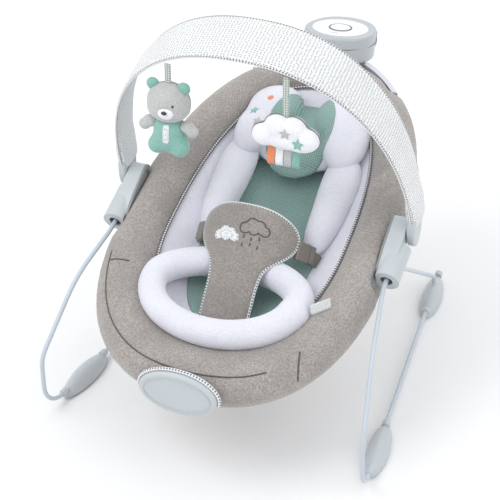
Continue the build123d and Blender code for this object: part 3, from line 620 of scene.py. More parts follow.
# ---- Seat --------------------------------------------------------------------------------
@dataclass(frozen=True)
class SeatPad:
    """The padded shell, its lining, piping and seams."""

    sides: int = 96
    # The hub's pin, and the reach along the slope and the radius of the pod round it.
    pin: tuple[float, float, float] = (0.206, -0.068, 0.251)
    pin_slope: float = 22.0
    pod_reach: tuple[float, float] = (-0.048, 0.034)
    pod_radius: float = 0.0198
    # How the shell leaves the hub's cheek: its gap, and the fade's width and depth.
    cheek_gap: float = 0.0045
    fade: float = 0.012
    fade_depth: float = 0.020
    # Where the fairing lies along and above the rim's plane, and the shell's inset behind it.
    fairing_from: float = 0.26
    fairing_zone: tuple[float, float] = (-0.041, 0.006)
    fairing_span: tuple[float, float] = (-0.0350, 0.0012)
    inset: float = 0.0035

    def ring(self, oval: Oval, w: float | Callable[[float, float], float]) -> list[Vector]:
        """Returns an oval's points at a height or over a height function."""
        points = []
        for n in range(self.sides):
            x, u = oval.point(2 * math.pi * n / self.sides)
            points.append(RIM.at(x, u, w(x, u) if callable(w) else w))
        return points

    def shell(self) -> bpy.types.Object:
        """Builds the grey shell: under the lining, over the crest and round the belly."""
        profile = [
            (Oval(0.030, 0.040, 0.060, 0.020), -0.072), (Oval(0.085, 0.120, 0.190, 0.020), -0.066),
            (Oval(0.120, 0.172, 0.265, 0.020), -0.042), (Oval(0.1315, 0.191, 0.286, 0.020), -0.018),
            (Oval(0.143, 0.210, 0.300, 0.010), 0.002), (Oval(0.160, 0.228, 0.316), 0.013),
            (Oval(0.178, 0.246, 0.334), 0.014), (Oval(0.193, 0.260, 0.350), 0.006),
            (Oval(0.203, 0.269, 0.361), -0.008), (Oval(0.2045, 0.270, 0.363), -0.020),
            (Oval(0.196, 0.264, 0.352), -0.036), (Oval(0.176, 0.250, 0.326), -0.053),
            (Oval(0.148, 0.224, 0.285), -0.071), (Oval(0.114, 0.186, 0.228), -0.088),
            (Oval(0.078, 0.138, 0.160), -0.102), (Oval(0.040, 0.078, 0.088), -0.110),
            (Oval(0.012, 0.022, 0.024), -0.112),
        ]
        bm = loft([self.ring(oval, w) for oval, w in profile])
        thing = piece("padded_shell", bm, "plush_grey", replaces=["outer_pad"])
        swell(thing, 0.006, 0.006, pinned=self.held)
        self.dent(thing)
        soften(thing, 2)
        map_flat(thing, RIM)
        return thing

    def held(self, point: Vector) -> float:
        """Returns how firmly the shell is held at a point by its seams."""
        x, u, w = RIM.local(point)
        on_seam = abs(SEAM.share(x, u) - 1.0) < 0.03 or (abs(w + 0.030) < 0.004 and u < 0.02)
        inside = SEAM.share(x, u) < 1.0
        return 1.0 if on_seam or inside else 0.0

    def dent(self, thing: bpy.types.Object) -> None:
        """Presses the shell in round the pods and beside the hub's bracket."""
        pin = Vector(self.pin)
        slope = math.radians(self.pin_slope)
        ahead = Vector((0.0, math.cos(slope), math.sin(slope)))
        above = Vector((0.0, -math.sin(slope), math.cos(slope)))
        low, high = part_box("hub_plate_right")
        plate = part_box("hub_cover_right")[0][0] - self.cheek_gap
        fairing = surface(frame["nodes"]["neck_cover"])
        for vert in thing.data.vertices:
            off = Vector((abs(vert.co.x), vert.co.y, vert.co.z)) - pin
            along, up = off.dot(ahead), off.dot(above)
            limit = 1.0
            if self.pod_reach[0] < along < self.pod_reach[1] and abs(up) < self.pod_radius:
                limit = pin.x - math.sqrt(max(0.0, self.pod_radius**2 - up * up))
            gap = max(low[1] - vert.co.y, vert.co.y - high[1], low[2] - vert.co.z, 0.0) / self.fade
            if gap < 1.0:
                limit = min(limit, plate + self.fade_depth * gap * gap)
            if abs(vert.co.x) > limit:
                vert.co.x = math.copysign(limit, vert.co.x)
            self.uncover(vert, fairing)

    def uncover(self, vert: bpy.types.MeshVertex, fairing: BVHTree) -> None:
        """Holds one vertex of the shell behind the fairing at the head end."""
        x, u, w = RIM.local(vert.co)
        if u < self.fairing_from or not self.fairing_zone[0] < w < self.fairing_zone[1]:
            return
        level = min(max(w, self.fairing_span[0]), self.fairing_span[1])
        start, end = RIM.at(0.2 * x, 0.12, level), RIM.at(x, u, level)
        way = (end - start).normalized()
        hit = fairing.ray_cast(start, way)
        if hit[0] and hit[3] - self.inset < (end - start).length:
            flat = start + way * (hit[3] - self.inset)
            vert.co += flat - end

    def lining(self) -> bpy.types.Object:
        """Builds the white lining of the bowl."""
        shares = (0.08, 0.3, 0.5, 0.68, 0.82, 0.92, 0.98, 1.035)
        rings = []
        for share in shares:
            oval = Oval(0.130 * share, 0.189 * share, 0.284 * share, 0.020)
            rings.append(self.ring(oval, lambda x, u: bowl(x, u) + 0.001))
        for share in reversed(shares):
            oval = Oval(0.128 * share, 0.187 * share, 0.282 * share, 0.020)
            rings.append(self.ring(oval, lambda x, u: bowl(x, u) - 0.004))
        thing = piece("lining", loft(rings), "soft_white", replaces=["seat_liner"], levels=1)
        map_flat(thing, RIM)
        return thing

    def mesh(self) -> bpy.types.Object:
        """Builds the open knit panel of the seat and back."""
        rings = []
        for share in (0.05, 0.25, 0.45, 0.65, 0.82, 0.94, 1.0):
            oval = Oval(0.088 * share, 0.165 * share, 0.190 * share, 0.020)
            rings.append(self.ring(oval, lambda x, u: bowl(x, u) + 0.0055 - 0.003 * share**6))
        for share in (0.995, 0.6, 0.05):
            oval = Oval(0.087 * share, 0.164 * share, 0.189 * share, 0.020)
            rings.append(self.ring(oval, lambda x, u: bowl(x, u) + 0.0018))
        thing = piece("mesh_seat", loft(rings), "mesh_mint", replaces=["mesh_panel"], levels=1)
        map_flat(thing, RIM)
        return thing

    def stitch(self, name: str, flat: Sequence[tuple[float, float]], tree: BVHTree) -> None:
        """Lays a dark cord of painted shade along a sewn seam's groove on the shell, over points given in
        the rim's plane.
        """
        down = RIM.way(0, 0, -1)
        line = [tree.ray_cast(RIM.at(x, u, 0.06), down)[0] or RIM.at(x, u, 0.014) for x, u in flat]
        piece(name, cord_mesh(line, 0.0012), "thread_and_seam_shade")

    def piping(self, shell: bpy.types.Object) -> None:
        """Builds the dotted piping between shell and lining, and the painted shade along the shell's
        seams.
        """
        tree = surface(shell)
        path = [RIM.at(*SEAM.point(2 * math.pi * n / 160), SEAM_W + 0.003) for n in range(160)]
        piece("edge_piping", cord_mesh([*path, path[0]], 0.0024), "dotted_cord")
        flank = Oval(0.187, 0.246, 0.334)
        x, u = flank.point(math.radians(200))
        for name, flat in (
            ("toe_seam", [flank.point(math.radians(196 + 104 * n / 90)) for n in range(91)]),
            ("short_seam", [(x + 0.0022 * n, u + 0.0004 * n) for n in range(14)]),
            ("dart", [(0.137 + 0.0006 * n, -0.176 - 0.0030 * n) for n in range(12)]),
        ):
            self.stitch(name, flat, tree)

    def build(self) -> None:
        """Builds the shell, lining, mesh and piping."""
        shell = self.shell()
        self.lining()
        self.mesh()
        self.piping(shell)


@dataclass(frozen=True)
class SeatCushions:
    """The bolsters, leg roll and headrest that lie in the seat."""

    def bolster(self, name: str, side: float) -> None:
        """Builds one long side cushion."""
        path = [RIM.at(side * (0.090 - 0.010 * t - 0.012 * (1 - t) ** 2), 0.006 + 0.176 * t,
                       bowl(0.088, 0.006 + 0.176 * t) + 0.013) for t in (n / 24 for n in range(25))]
        rings = []
        for n, hoop in enumerate(circle_rings(path, lambda _: 1.0, 28)):
            t = n / 24
            plump = max(0.02, (1 - abs(2 * t - 1.06) ** 3.2 / 1.22)) ** 0.5
            ring = []
            for point in hoop:
                local = RIM.local(point) - RIM.local(path[n])
                ring.append(path[n] + RIM.way(local.x * (0.021 + 0.013 * t) * plump,
                                              local.y * 0.02 * plump, local.z * 0.021 * plump))
            rings.append(ring)
        thing = piece(f"bolster_{name}", loft(rings), "soft_white",
                      replaces=[f"side_bolster_{name}"])
        swell(thing, 0.005, 0.005)
        soften(thing, 4)
        map_flat(thing, RIM)

    def roll_radius(self, share: float) -> float:
        """Returns the leg roll's radius at a share of its way round: slimmer at the toe."""
        if share <= 0.5:
            return 0.0215
        return 0.0235 - 0.0035 * abs(math.sin(math.pi * share)) ** 0.5

    def leg_roll(self) -> None:
        """Builds the roll round the toe side of the seat."""
        path = []
        for n in range(48):
            angle = 2 * math.pi * n / 48
            front = -math.sin(angle)
            reach = 0.076 if front > 0 else 0.066
            path.append(RIM.at(0.106 * math.cos(angle), -0.104 - reach * front,
                               0.004 + (0.008 if front > 0 else 0.026) * front))
        rings = circle_rings(path, self.roll_radius, 20, True)
        bm = loft([*rings, rings[0]], cap=False)
        bmesh.ops.remove_doubles(bm, verts=bm.verts, dist=1e-6)
        thing = piece("leg_roll", bm, "soft_white", replaces=["leg_ring"])
        swell(thing, 0.005, 0.004)
        soften(thing, 3)
        map_flat(thing, RIM)

    def headrest(self) -> None:
        """Builds the pillow with a lobe at each side and its open knit oval."""
        bm = bmesh.new()
        ball(RIM.at(0.0, 0.214, -0.030), (0.088, 0.068, 0.018), lean(RIM.slope), bm)
        for side in SIDES.values():
            ball(RIM.at(side * 0.071, 0.205, -0.008), (0.033, 0.056, 0.023), lean(RIM.slope), bm)
            ball(RIM.at(side * 0.056, 0.244, -0.004), (0.044, 0.048, 0.021), lean(RIM.slope), bm)
        thing = piece("headrest", bm, "soft_white", replaces=["headrest_pillow"])
        swell(thing, 0.005, 0.004)
        soften(thing, 5)
        map_flat(thing, RIM)
        self.knit(thing)
        self.motifs(surface(thing))

    def knit(self, pillow: bpy.types.Object) -> None:
        """Builds the open knit oval as a lifted copy of the pillow's own faces."""
        bm = bmesh.new()
        bm.from_mesh(pillow.data)
        bmesh.ops.recalc_face_normals(bm, faces=bm.faces)
        bmesh.ops.subdivide_edges(bm, edges=bm.edges, cuts=1, use_grid_fill=True, smooth=0.6)
        oval = Oval(0.050, 0.070, 0.066, 0.206, 2.2)
        outside = []
        for face in bm.faces:
            middle = face.calc_center_median()
            local = RIM.local(middle)
            if oval.share(local.x, local.y) > 1.0 or RIM.local(middle + face.normal).z < local.z:
                outside.append(face)
        bmesh.ops.delete(bm, geom=outside, context="FACES")
        for vert in [v for v in bm.verts if v.is_boundary]:
            local = RIM.local(vert.co)
            share = oval.share(local.x, local.y)
            along = oval.centre + (local.y - oval.centre) / share
            vert.co = RIM.at(local.x / share, along, local.z)
        for _ in range(3):
            inner = [v for v in bm.verts if not v.is_boundary]
            bmesh.ops.smooth_vert(bm, verts=inner, factor=0.5, use_axis_x=True, use_axis_y=True,
                                  use_axis_z=True)
        for vert in bm.verts:
            vert.co += RIM.way(0, 0, 0.0007 if vert.is_boundary else 0.0022)
        bmesh.ops.solidify(bm, geom=bm.faces[:], thickness=0.0015)
        thing = piece("headrest_knit", bm, "mesh_mint", replaces=["headrest_mesh"])
        map_flat(thing, RIM)

    def motifs(self, tree: BVHTree) -> None:
        """Sews a dot and two small stars on the pillow's left lobe."""
        up, inward = RIM.way(0, 1, 0), RIM.way(0, 0, -1)
        dot = round_outline(RIM.at(-0.060, 0.243, 0.05), RIGHTWARD, up, 0.0048, 0.0048)
        applique("headrest_dot", dot, inward, tree, 0.0009, "orange_felt", "seat")
        for name, x, u in (("mint", -0.078, 0.218), ("grey", -0.064, 0.196)):
            applique(f"headrest_star_{name}", star(RIM.at(x, u, 0.05), RIGHTWARD, up, 0.0085), inward,
                     tree, 0.0009, f"bear_{name}", "seat")

    def build(self) -> None:
        """Builds every cushion."""
        for name, side in SIDES.items():
            self.bolster(name, side)
        self.leg_roll()
        self.headrest()


def applique(name: str, outline: Sequence[Vector], ahead: Vector, tree: BVHTree, out: float,
             finish: str, body: str) -> bpy.types.Object:
    """Builds a thin sewn patch that follows the surface under it.

    Args:
        name: The piece's name.
        outline: Points in front of the surface, in order.
        ahead: The direction from them to the surface.
        tree: The surface.
        out: How far the patch stands proud at its middle.
        finish: The finish's name.
        body: The CAD body that it moves with.

    Returns:
        The patch.
    """
    middle = sum(outline, Vector()) / len(outline)
    rings = []
    for share, lift in ((0.05, out), (0.5, out), (0.86, out * 0.9), (1.0, out * 0.35),
                        (0.98, -out * 0.5), (0.05, -out * 0.5)):
        ring = []
        for point in outline:
            start = middle.lerp(point, share)
            hit = tree.ray_cast(start, ahead)[0]
            ring.append((hit or start + ahead * 0.05) - ahead * lift)
        rings.append(ring)
    return piece(name, loft(rings), finish, body)


def star(middle: Vector, across: Vector, up: Vector, size: float) -> list[Vector]:
    """Returns a five-pointed star's outline."""
    points = []
    for n in range(10):
        reach = size if n % 2 == 0 else size * 0.5
        angle = math.pi * (0.5 + n / 5)
        points.append(middle + across * (reach * math.cos(angle)) + up * (reach * math.sin(angle)))
    return points


def round_outline(middle: Vector, across: Vector, up: Vector, a: float, b: float,
                  power: float = 2.0) -> list[Vector]:
    """Returns a rounded outline a wide and b high, each side of its middle."""
    return [middle + across * (a * rounded(c, 2 / power)) + up * (b * rounded(s, 2 / power))
            for c, s in circle(28)]


def puff_outline(middle: Vector, across: Vector, up: Vector, size: float) -> list[Vector]:
    """Returns a small cloud's outline: four bumps over a flat foot."""
    bumps = ((-0.62, -0.08, 0.36), (-0.18, 0.20, 0.42), (0.30, 0.16, 0.38), (0.70, -0.10, 0.32),
             (0.0, -0.12, 0.33))
    points = []
    for c, s in circle(72):
        reach = 0.05
        for x, y, radius in bumps:
            inside = (c * x + s * y) ** 2 - (x * x + y * y - radius * radius)
            if inside > 0:
                reach = max(reach, c * x + s * y + math.sqrt(inside))
        points.append(middle + across * (size * reach * c) + up * (size * reach * s))
    return points


def even_out(loop: Sequence[Vector]) -> list[Vector]:
    """Returns a closed loop with each point drawn towards its neighbours."""
    return [(loop[n - 1] + loop[n] * 2 + loop[(n + 1) % len(loop)]) / 4 for n in range(len(loop))]


def cut_loop(thing: bpy.types.Object, spot: Vector, normal: Vector) -> list[Vector]:
    """Returns the points where a plane cuts a piece, in order round it."""
    bm = bmesh.new()
    bm.from_mesh(thing.data)
    geometry = [*bm.verts, *bm.edges, *bm.faces]
    cut = bmesh.ops.bisect_plane(bm, geom=geometry, plane_co=spot, plane_no=normal)["geom_cut"]
    edges = {e for e in cut if isinstance(e, bmesh.types.BMEdge)}
    loops = []
    while edges:
        edge = edges.pop()
        start, vert = edge.verts
        loop = [start.co.copy(), vert.co.copy()]
        while True:
            follow = next((e for e in vert.link_edges if e in edges), None)
            if follow is None:
                break
            edges.discard(follow)
            vert = follow.other_vert(vert)
            loop.append(vert.co.copy())
        loops.append(loop)
    bm.free()
    longest = max(loops, key=len)
    step = max(1, len(longest) // 120)
    kept = longest[:-1:step]
    for _ in range(3):
        kept = even_out(kept)
    return [*kept, kept[0]]


def band(path: Sequence[Vector], across: Vector, half: float, thick: float) -> bmesh.types.BMesh:
    """Returns a flat strap along a path.

    Args:
        path: The points of its middle line.
        across: The direction of its width.
        half: Half its width.
        thick: Its thickness.

    Returns:
        The strap's closed mesh.
    """
    rings = []
    for n, point in enumerate(path):
        ahead = (path[min(n + 1, len(path) - 1)] - path[max(n - 1, 0)]).normalized()
        side = across.normalized()
        face = ahead.cross(side)
        rings.append([point + side * (half * rounded(c, 0.3)) + face * (thick / 2 * s)
                      for c, s in circle(16)])
    return loft(rings)


# ---- Crotch restraint --------------------------------------------------------------------
@dataclass(frozen=True)
class Restraint:
    """The padded T between the legs, its patches, straps and tag."""

    bend: float = 0.084
    half_thick: float = 0.0062
    # Height along the pad and half the width there.
    outline: tuple[tuple[float, float], ...] = (
        (-0.030, 0.012), (-0.029, 0.024), (-0.024, 0.031), (-0.010, 0.0345), (0.020, 0.0345),
        (0.050, 0.0345), (0.068, 0.037), (0.080, 0.044), (0.090, 0.056), (0.100, 0.069),
        (0.111, 0.079), (0.122, 0.0825), (0.133, 0.080), (0.143, 0.070), (0.151, 0.054),
        (0.157, 0.034), (0.159, 0.014),
    )

    def at(self, s: float, t: float, n: float) -> Vector:
        """Returns a point s round the bend, t along the pad and n off its middle layer."""
        turn = s / self.bend
        out = self.bend + n
        return RESTRAINT.at(out * math.sin(turn), t, out * math.cos(turn) - self.bend)

    def pad(self) -> bpy.types.Object:
        """Builds the padded T."""
        rings = []
        for t, half in self.outline:
            edge = min(1.0, half / 0.03)
            ring = []
            for c, s in circle(44):
                across = half * rounded(c, 0.8)
                ring.append(self.at(across, t, self.half_thick * edge * rounded(s, 0.9)))
            rings.append(ring)
        thing = piece("restraint", loft(rings), "restraint_grey", replaces=["crotch_restraint"],
                      levels=1)
        map_flat(thing, RESTRAINT)
        return thing

    def edge(self) -> None:
        """Builds the dotted piping round the pad."""
        right = [self.at(half + 0.001, t, 0.0) for t, half in self.outline]
        left = [self.at(-half - 0.001, t, 0.0) for t, half in self.outline]
        loop = [*right, *reversed(left)]
        smooth = []
        for n, point in enumerate(loop):
            after = loop[(n + 1) % len(loop)]
            smooth += [point, point.lerp(after, 0.5)]
        smooth = even_out(smooth)
        piece("restraint_piping", cord_mesh([*smooth, smooth[0]], 0.0024), "dotted_white")

    def patches(self, pad: bpy.types.Object) -> None:
        """Builds the cloud patch, the stitched cloud and its drops."""
        tree = surface(pad)
        up, inward = RESTRAINT.way(0, 1, 0), RESTRAINT.way(0, 0, -1)

        def sewn(points: Sequence[Vector]) -> list[Vector]:
            """Returns points laid just above the pad."""
            return [(tree.ray_cast(point, inward)[0] or point) - inward * 0.0003 for point in points]

        middle = RESTRAINT.at(-0.022, 0.112, 0.03)
        applique("cloud_patch", puff_outline(middle, RIGHTWARD, up, 0.020), inward, tree, 0.0022,
                 "pale_patch", "seat")
        line = sewn(puff_outline(RESTRAINT.at(0.016, 0.128, 0.03), RIGHTWARD, up, 0.021))
        piece("stitched_cloud", cord_mesh([*line, line[0]], 0.0009, 6), "thread_and_seam_shade")
        for n in range(6):
            height = 0.112 - 0.010 * (n // 3) - 0.002 * (n % 2)
            spot = RESTRAINT.at(0.004 + 0.011 * (n % 3), height, 0.03)
            drop = sewn([spot + up * (0.0012 * k) for k in range(5)])
            piece(f"stitched_drop_{n + 1}", cord_mesh(drop, 0.0009, 6), "thread_and_seam_shade")

    def straps(self) -> None:
        """Builds the waist straps and the plain tag."""
        bm = bmesh.new()
        low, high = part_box("waist_straps")
        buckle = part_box("buckle_tongue_right")[1]
        for side in SIDES.values():
            start = Vector((side * (buckle[0] - 0.006), buckle[1] - 0.011,
                            (low[2] + high[2]) / 2 + 0.004))
            out = Vector((side * 0.559, 0.624, -0.546))
            path = [start + out * (0.0065 * n) - Vector((0, 0, 0.0008 * n * n)) for n in range(6)]
            half = band(path, RESTRAINT.way(0, 1, 0), 0.0105, 0.0018)
            mesh = bpy.data.meshes.new("half")
            half.to_mesh(mesh)
            bm.from_mesh(mesh)
            bpy.data.meshes.remove(mesh)
            half.free()
        piece("waist_webbing", bm, "webbing", replaces=["waist_straps"])
        spot, turn = Vector((0.1405, -0.184, 0.232)), math.radians(36)
        along = Vector((math.cos(turn), math.sin(turn), 0.26)).normalized()
        path = [spot + Vector((0.002 * (n / 5) ** 2, 0, 0.0085 - 0.0032 * n)) for n in range(6)]
        piece("plain_tag", band(path, along, 0.0145, 0.0012), "tag_fabric", replaces=["side_tag"])

    def build(self) -> None:
        """Builds the restraint."""
        pad = self.pad()
        self.edge()
        self.patches(pad)
        self.straps()


# ---- Toy bar and toys --------------------------------------------------------------------
@dataclass(frozen=True)
class ToyBar:
    """The fabric sleeve over the arch, with its piping."""

    half_span: float = 0.220
    rise: float = 0.280
    power: float = 2.3
    width_end: float = 0.043
    width_top: float = 0.078
    shift_top: float = 0.014
    start: float = 0.004

    def arch(self, count: int) -> list[tuple[float, float]]:
        """Returns even steps of (x, height) over the arch."""
        fine = []
        for n in range(1201):
            angle = math.pi * n / 1200
            x = self.half_span * rounded(math.cos(angle), 2 / self.power)
            height = self.rise * abs(math.sin(angle)) ** (2 / self.power)
            if height >= self.start:
                fine.append(Vector((x, height)))
        lengths = [0.0]
        for a, b in zip(fine, fine[1:]):
            lengths.append(lengths[-1] + (b - a).length)
        steps = []
        k = 0
        for n in range(count):
            goal = lengths[-1] * n / (count - 1)
            while k + 1 < len(lengths) - 1 and lengths[k + 1] < goal:
                k += 1
            steps.append((fine[k].x, fine[k].y))
        return steps

    def frame_at(self, steps: list[tuple[float, float]], n: int) -> tuple[Vector, Vector, float]:
        """Returns the arch's point and outward direction in its plane, and its height share."""
        place = Vector(steps[n])
        after, before = steps[min(n + 1, len(steps) - 1)], steps[max(n - 1, 0)]
        ahead = Vector((after[0] - before[0], after[1] - before[1])).normalized()
        outward = Vector((-ahead.y, ahead.x))
        if outward.dot(place - Vector((0.0, 0.08))) < 0:
            outward = -outward
        return place, outward, steps[n][1] / self.rise

    def spot(self, place: Vector, outward: Vector, depth: float, off: float) -> Vector:
        """Returns the point off outward from the arch and depth towards its back."""
        flat = place + outward * off
        return ARCH.at(flat.x, flat.y, -depth)

    def sleeve(self) -> None:
        """Builds the sleeve."""
        steps = self.arch(90)
        rings, front, back = [], [], []
        for n in range(len(steps)):
            place, outward, share = self.frame_at(steps, n)
            half = (self.width_end + (self.width_top - self.width_end) * share) / 2
            shift = self.shift_top * share
            height = share * self.rise
            plump = min(1.0, max(0.0, (0.075 - height) / 0.035))
            thick = 0.0042 + 0.0052 * plump
            ripple = 0.0004 * math.sin(n * 1.9) + 0.0003 * math.sin(n * 0.7)
            ring = []
            for c, s in circle(28):
                depth = shift + half * rounded(c, 0.62)
                ring.append(self.spot(place, outward, depth, (thick + ripple) * rounded(s, 0.8)))
            rings.append(ring)
            front.append(self.spot(place, outward, shift - half - 0.0006, 0.0))
            back.append(self.spot(place, outward, shift + half + 0.0006, 0.0))
        thing = piece("bar_sleeve", loft(rings), "bar_fabric", "toy_bar", ["toy_bar_sleeve"], 1)
        for name, path in (("front", front), ("back", back)):
            piece(f"sleeve_piping_{name}", cord_mesh(path, 0.0017), "dotted_white", "toy_bar")

    def build(self) -> None:
        """Builds the toy bar's soft parts."""
        self.sleeve()


def strap(name: str, x: float, y: float, low: float, high: float, body: str, node: str) -> None:
    """Builds a toy's flat hanging strap."""
    path = [Vector((x, y, low + (high - low) * n / 8)) for n in range(9)]
    piece(name, band(path, RIGHTWARD, 0.0045, 0.0024), "dotted_strap", body, [node])


@dataclass(frozen=True)
class Bear:
    """The hanging bear: head, ears, snout, arms and romper."""

    x: float = -0.100
    y: float = -0.126
    top: float = 0.519

    def at(self, dx: float, dy: float, z: float) -> Vector:
        """Returns a place on the bear."""
        return Vector((self.x + dx, self.y + dy, z))

    def plush(self, name: str, balls: Sequence[Blob], finish: str, voxel: float,
              node: str = "") -> bpy.types.Object:
        """Builds one plush piece from overlapping balls."""
        bm = bmesh.new()
        for centre, radii in balls:
            ball(self.at(*centre), radii, None, bm)
        thing = piece(name, bm, finish, "bear", [node] if node else [])
        remesh(thing, voxel)
        soften(thing, 6)
        map_flat(thing, RESTRAINT)
        return thing

    def face(self, head: bpy.types.Object) -> None:
        """Builds the snout, nose, eyes and the head's seam."""
        self.plush("bear_snout", [((0.004, -0.0195, 0.4585), (0.0125, 0.0075, 0.0095))],
                   "cloud_white", 0.0015)
        bm = bmesh.new()
        ball(self.at(0.005, -0.0275, 0.4620), (0.0040, 0.0022, 0.0026), None, bm)
        for side in SIDES.values():
            eye = self.at(0.003 + side * 0.0115, -0.0222 + 0.002, 0.4700)
            ball(eye, (0.0017, 0.0012, 0.0019), None, bm)
        piece("bear_nose_and_eyes", bm, "dark_plastic", "bear")
        seam = cut_loop(head, self.at(0, 0.003, 0.467), BACKWARD)
        piece("bear_head_seam", cord_mesh(seam, 0.0006, 6), "grey_thread", "bear")

    def build(self) -> None:
        """Builds the bear."""
        head = self.plush("bear_face", [((0, 0, 0.4665), (0.0310, 0.0235, 0.0275)),
                                        ((0, -0.002, 0.459), (0.0305, 0.0225, 0.0215))],
                          "bear_grey", 0.0022, "bear_head")
        for name, side in SIDES.items():
            self.plush(f"bear_ear_{name}", [((side * 0.0225, 0.000, 0.4885), (0.0095, 0.0060, 0.0095))],
                       "bear_mint", 0.0013)
            self.plush(f"bear_arm_{name}", [((side * 0.0275, -0.003, 0.4335), (0.0105, 0.0085, 0.0090)),
                                            ((side * 0.0350, -0.004, 0.4280), (0.0090, 0.0080, 0.0085))],
                       "bear_grey", 0.0015)
        body = self.plush("bear_romper", [
            ((0, 0, 0.424), (0.0235, 0.0185, 0.0230)), ((0, -0.001, 0.410), (0.0260, 0.0190, 0.0180)),
            ((-0.0165, -0.005, 0.401), (0.0140, 0.0140, 0.0130)),
            ((0.0165, -0.005, 0.401), (0.0140, 0.0140, 0.0130))], "bear_mint", 0.0020, "bear_body")
        self.face(head)
        spot = self.at(0.002, -0.05, 0.425)
        placket = round_outline(spot, RIGHTWARD, UPWARD, 0.0045, 0.0130, 5.0)
        applique("bear_placket", placket, BACKWARD, surface(body), 0.0010, "pale_patch", "bear")
        strap("bear_hanger", self.x, self.y, 0.489, self.top + 0.002, "bear", "bear_strap")


@dataclass(frozen=True)
class Cloud:
    """The hanging cloud with its stars and ribbons."""

    x: float = 0.067
    y: float = -0.126
    top: float = 0.533

    def build(self) -> None:
        """Builds the cloud."""
        bm = bmesh.new()
        for dx, z, rx, rz in ((-0.029, 0.4450, 0.0185, 0.0165), (-0.010, 0.4590, 0.0200, 0.0190),
                              (0.012, 0.4600, 0.0185, 0.0180), (0.031, 0.4480, 0.0170, 0.0165),
                              (0.000, 0.4430, 0.0330, 0.0150), (0.020, 0.4400, 0.0240, 0.0120)):
            ball(Vector((self.x + dx, self.y, z)), (rx, 0.0130, rz), None, bm)
        body = piece("cloud_plush", bm, "cloud_white", "cloud_toy", ["cloud"])
        remesh(body, 0.0022)
        soften(body, 4)
        map_flat(body, RESTRAINT)
        seam = cut_loop(body, Vector((self.x, self.y, 0.45)), BACKWARD)
        piece("cloud_seam", cord_mesh(seam, 0.0013), "grey_thread", "cloud_toy")
        tree = surface(body)
        for name, dx, z, size in (("grey", 0.003, 0.4560, 0.0082), ("mint", 0.021, 0.4440, 0.0090)):
            spot = Vector((self.x + dx, self.y - 0.05, z))
            applique(f"cloud_star_{name}", star(spot, RIGHTWARD, UPWARD, size), BACKWARD, tree,
                     0.0012, f"bear_{name}", "cloud_toy")
        for n, finish in enumerate(("orange_felt", "cloud_white", "bear_grey", "bear_mint")):
            x = self.x - 0.0205 + 0.0118 * n
            path = [Vector((x, self.y + 0.0015 * math.sin(k * 0.9), 0.4340 - 0.0046 * k))
                    for k in range(8)]
            thing = piece(f"ribbon_{n + 1}", band(path, Vector((1, 0.1, 0)), 0.0052, 0.0012),
                          finish, "cloud_toy", ["cloud_ribbons"] if n == 0 else [])
        strap("cloud_hanger", self.x, self.y, 0.474, self.top, "cloud_toy", "cloud_strap")


# ---- Control unit and plates -------------------------------------------------------------
@dataclass(frozen=True)
class ControlUnit:
    """Trim on the control unit: rings on the disc, a rim and a rear catch."""

    half: float = 0.022

    def ring(self, name: str, radius: float, z: float, thick: float, finish: str, y: float = 0.0,
             stretch: float = 1.0) -> None:
        """Builds a thin round bead that lies in the unit's top plane."""
        path = [UNIT.at(radius * c, y + radius * stretch * s, z) for c, s in circle(72)]
        piece(name, cord_mesh([*path, path[0]], thick), finish)

    def build(self) -> None:
        """Builds the trim."""
        self.ring("button_ring", 0.0172, self.half + 0.0002, 0.0011, "dark_trim")
        self.ring("disc_ring", 0.0438, self.half - 0.0004, 0.0010, "shell_plastic")
        self.ring("housing_line", 0.0555, 0.0042, 0.0007, "dark_trim", 0.0048, 1.085)
        bm = bmesh.new()
        matrix = Matrix.Translation(UNIT.at(0.034, 0.040, 0.002)) @ lean(-8) @ Matrix.Rotation(
            math.radians(-40), 4, "Z") @ Matrix.Diagonal((0.030, 0.018, 0.030, 1.0))
        bmesh.ops.create_cube(bm, size=1.0, matrix=matrix)
        bmesh.ops.bevel(bm, geom=bm.edges[:], offset=0.006, segments=5, profile=0.5, affect="EDGES",
                        material=-1)
        piece("rear_catch", bm, "unit_plastic")
        bm = bmesh.new()
        for x in (-0.004, 0.0, 0.004):
            ball(UNIT.at(x, -0.0285, self.half + 0.0001), (0.0010, 0.0010, 0.0006), lean(-8), bm)
        piece("volume_dots", bm, "dark_trim")


@dataclass(frozen=True)
class ToePlate:
    """The plain plate on the toe with its piping."""

    middle: tuple[float, float, float] = (0.0, -0.336, 0.158)
    half: tuple[float, float] = (0.057, 0.034)

    def build(self) -> None:
        """Builds the piping over the plate and a raised border on it."""
        x, y, z = self.middle
        a, b = self.half
        arc = [Vector((x + (a + 0.001) * math.cos(t), y - 0.001, z + (b + 0.001) * math.sin(t)))
               for t in (math.radians(-12 + 204 * n / 60) for n in range(61))]
        piece("plate_piping", cord_mesh(arc, 0.0026), "dotted_white")
        border = [Vector((x + (a - 0.009) * c, y - 0.0094, z + (b - 0.009) * s))
                  for c, s in circle(72)]
        piece("plate_border", cord_mesh([*border, border[0]], 0.0007), "shell_plastic")


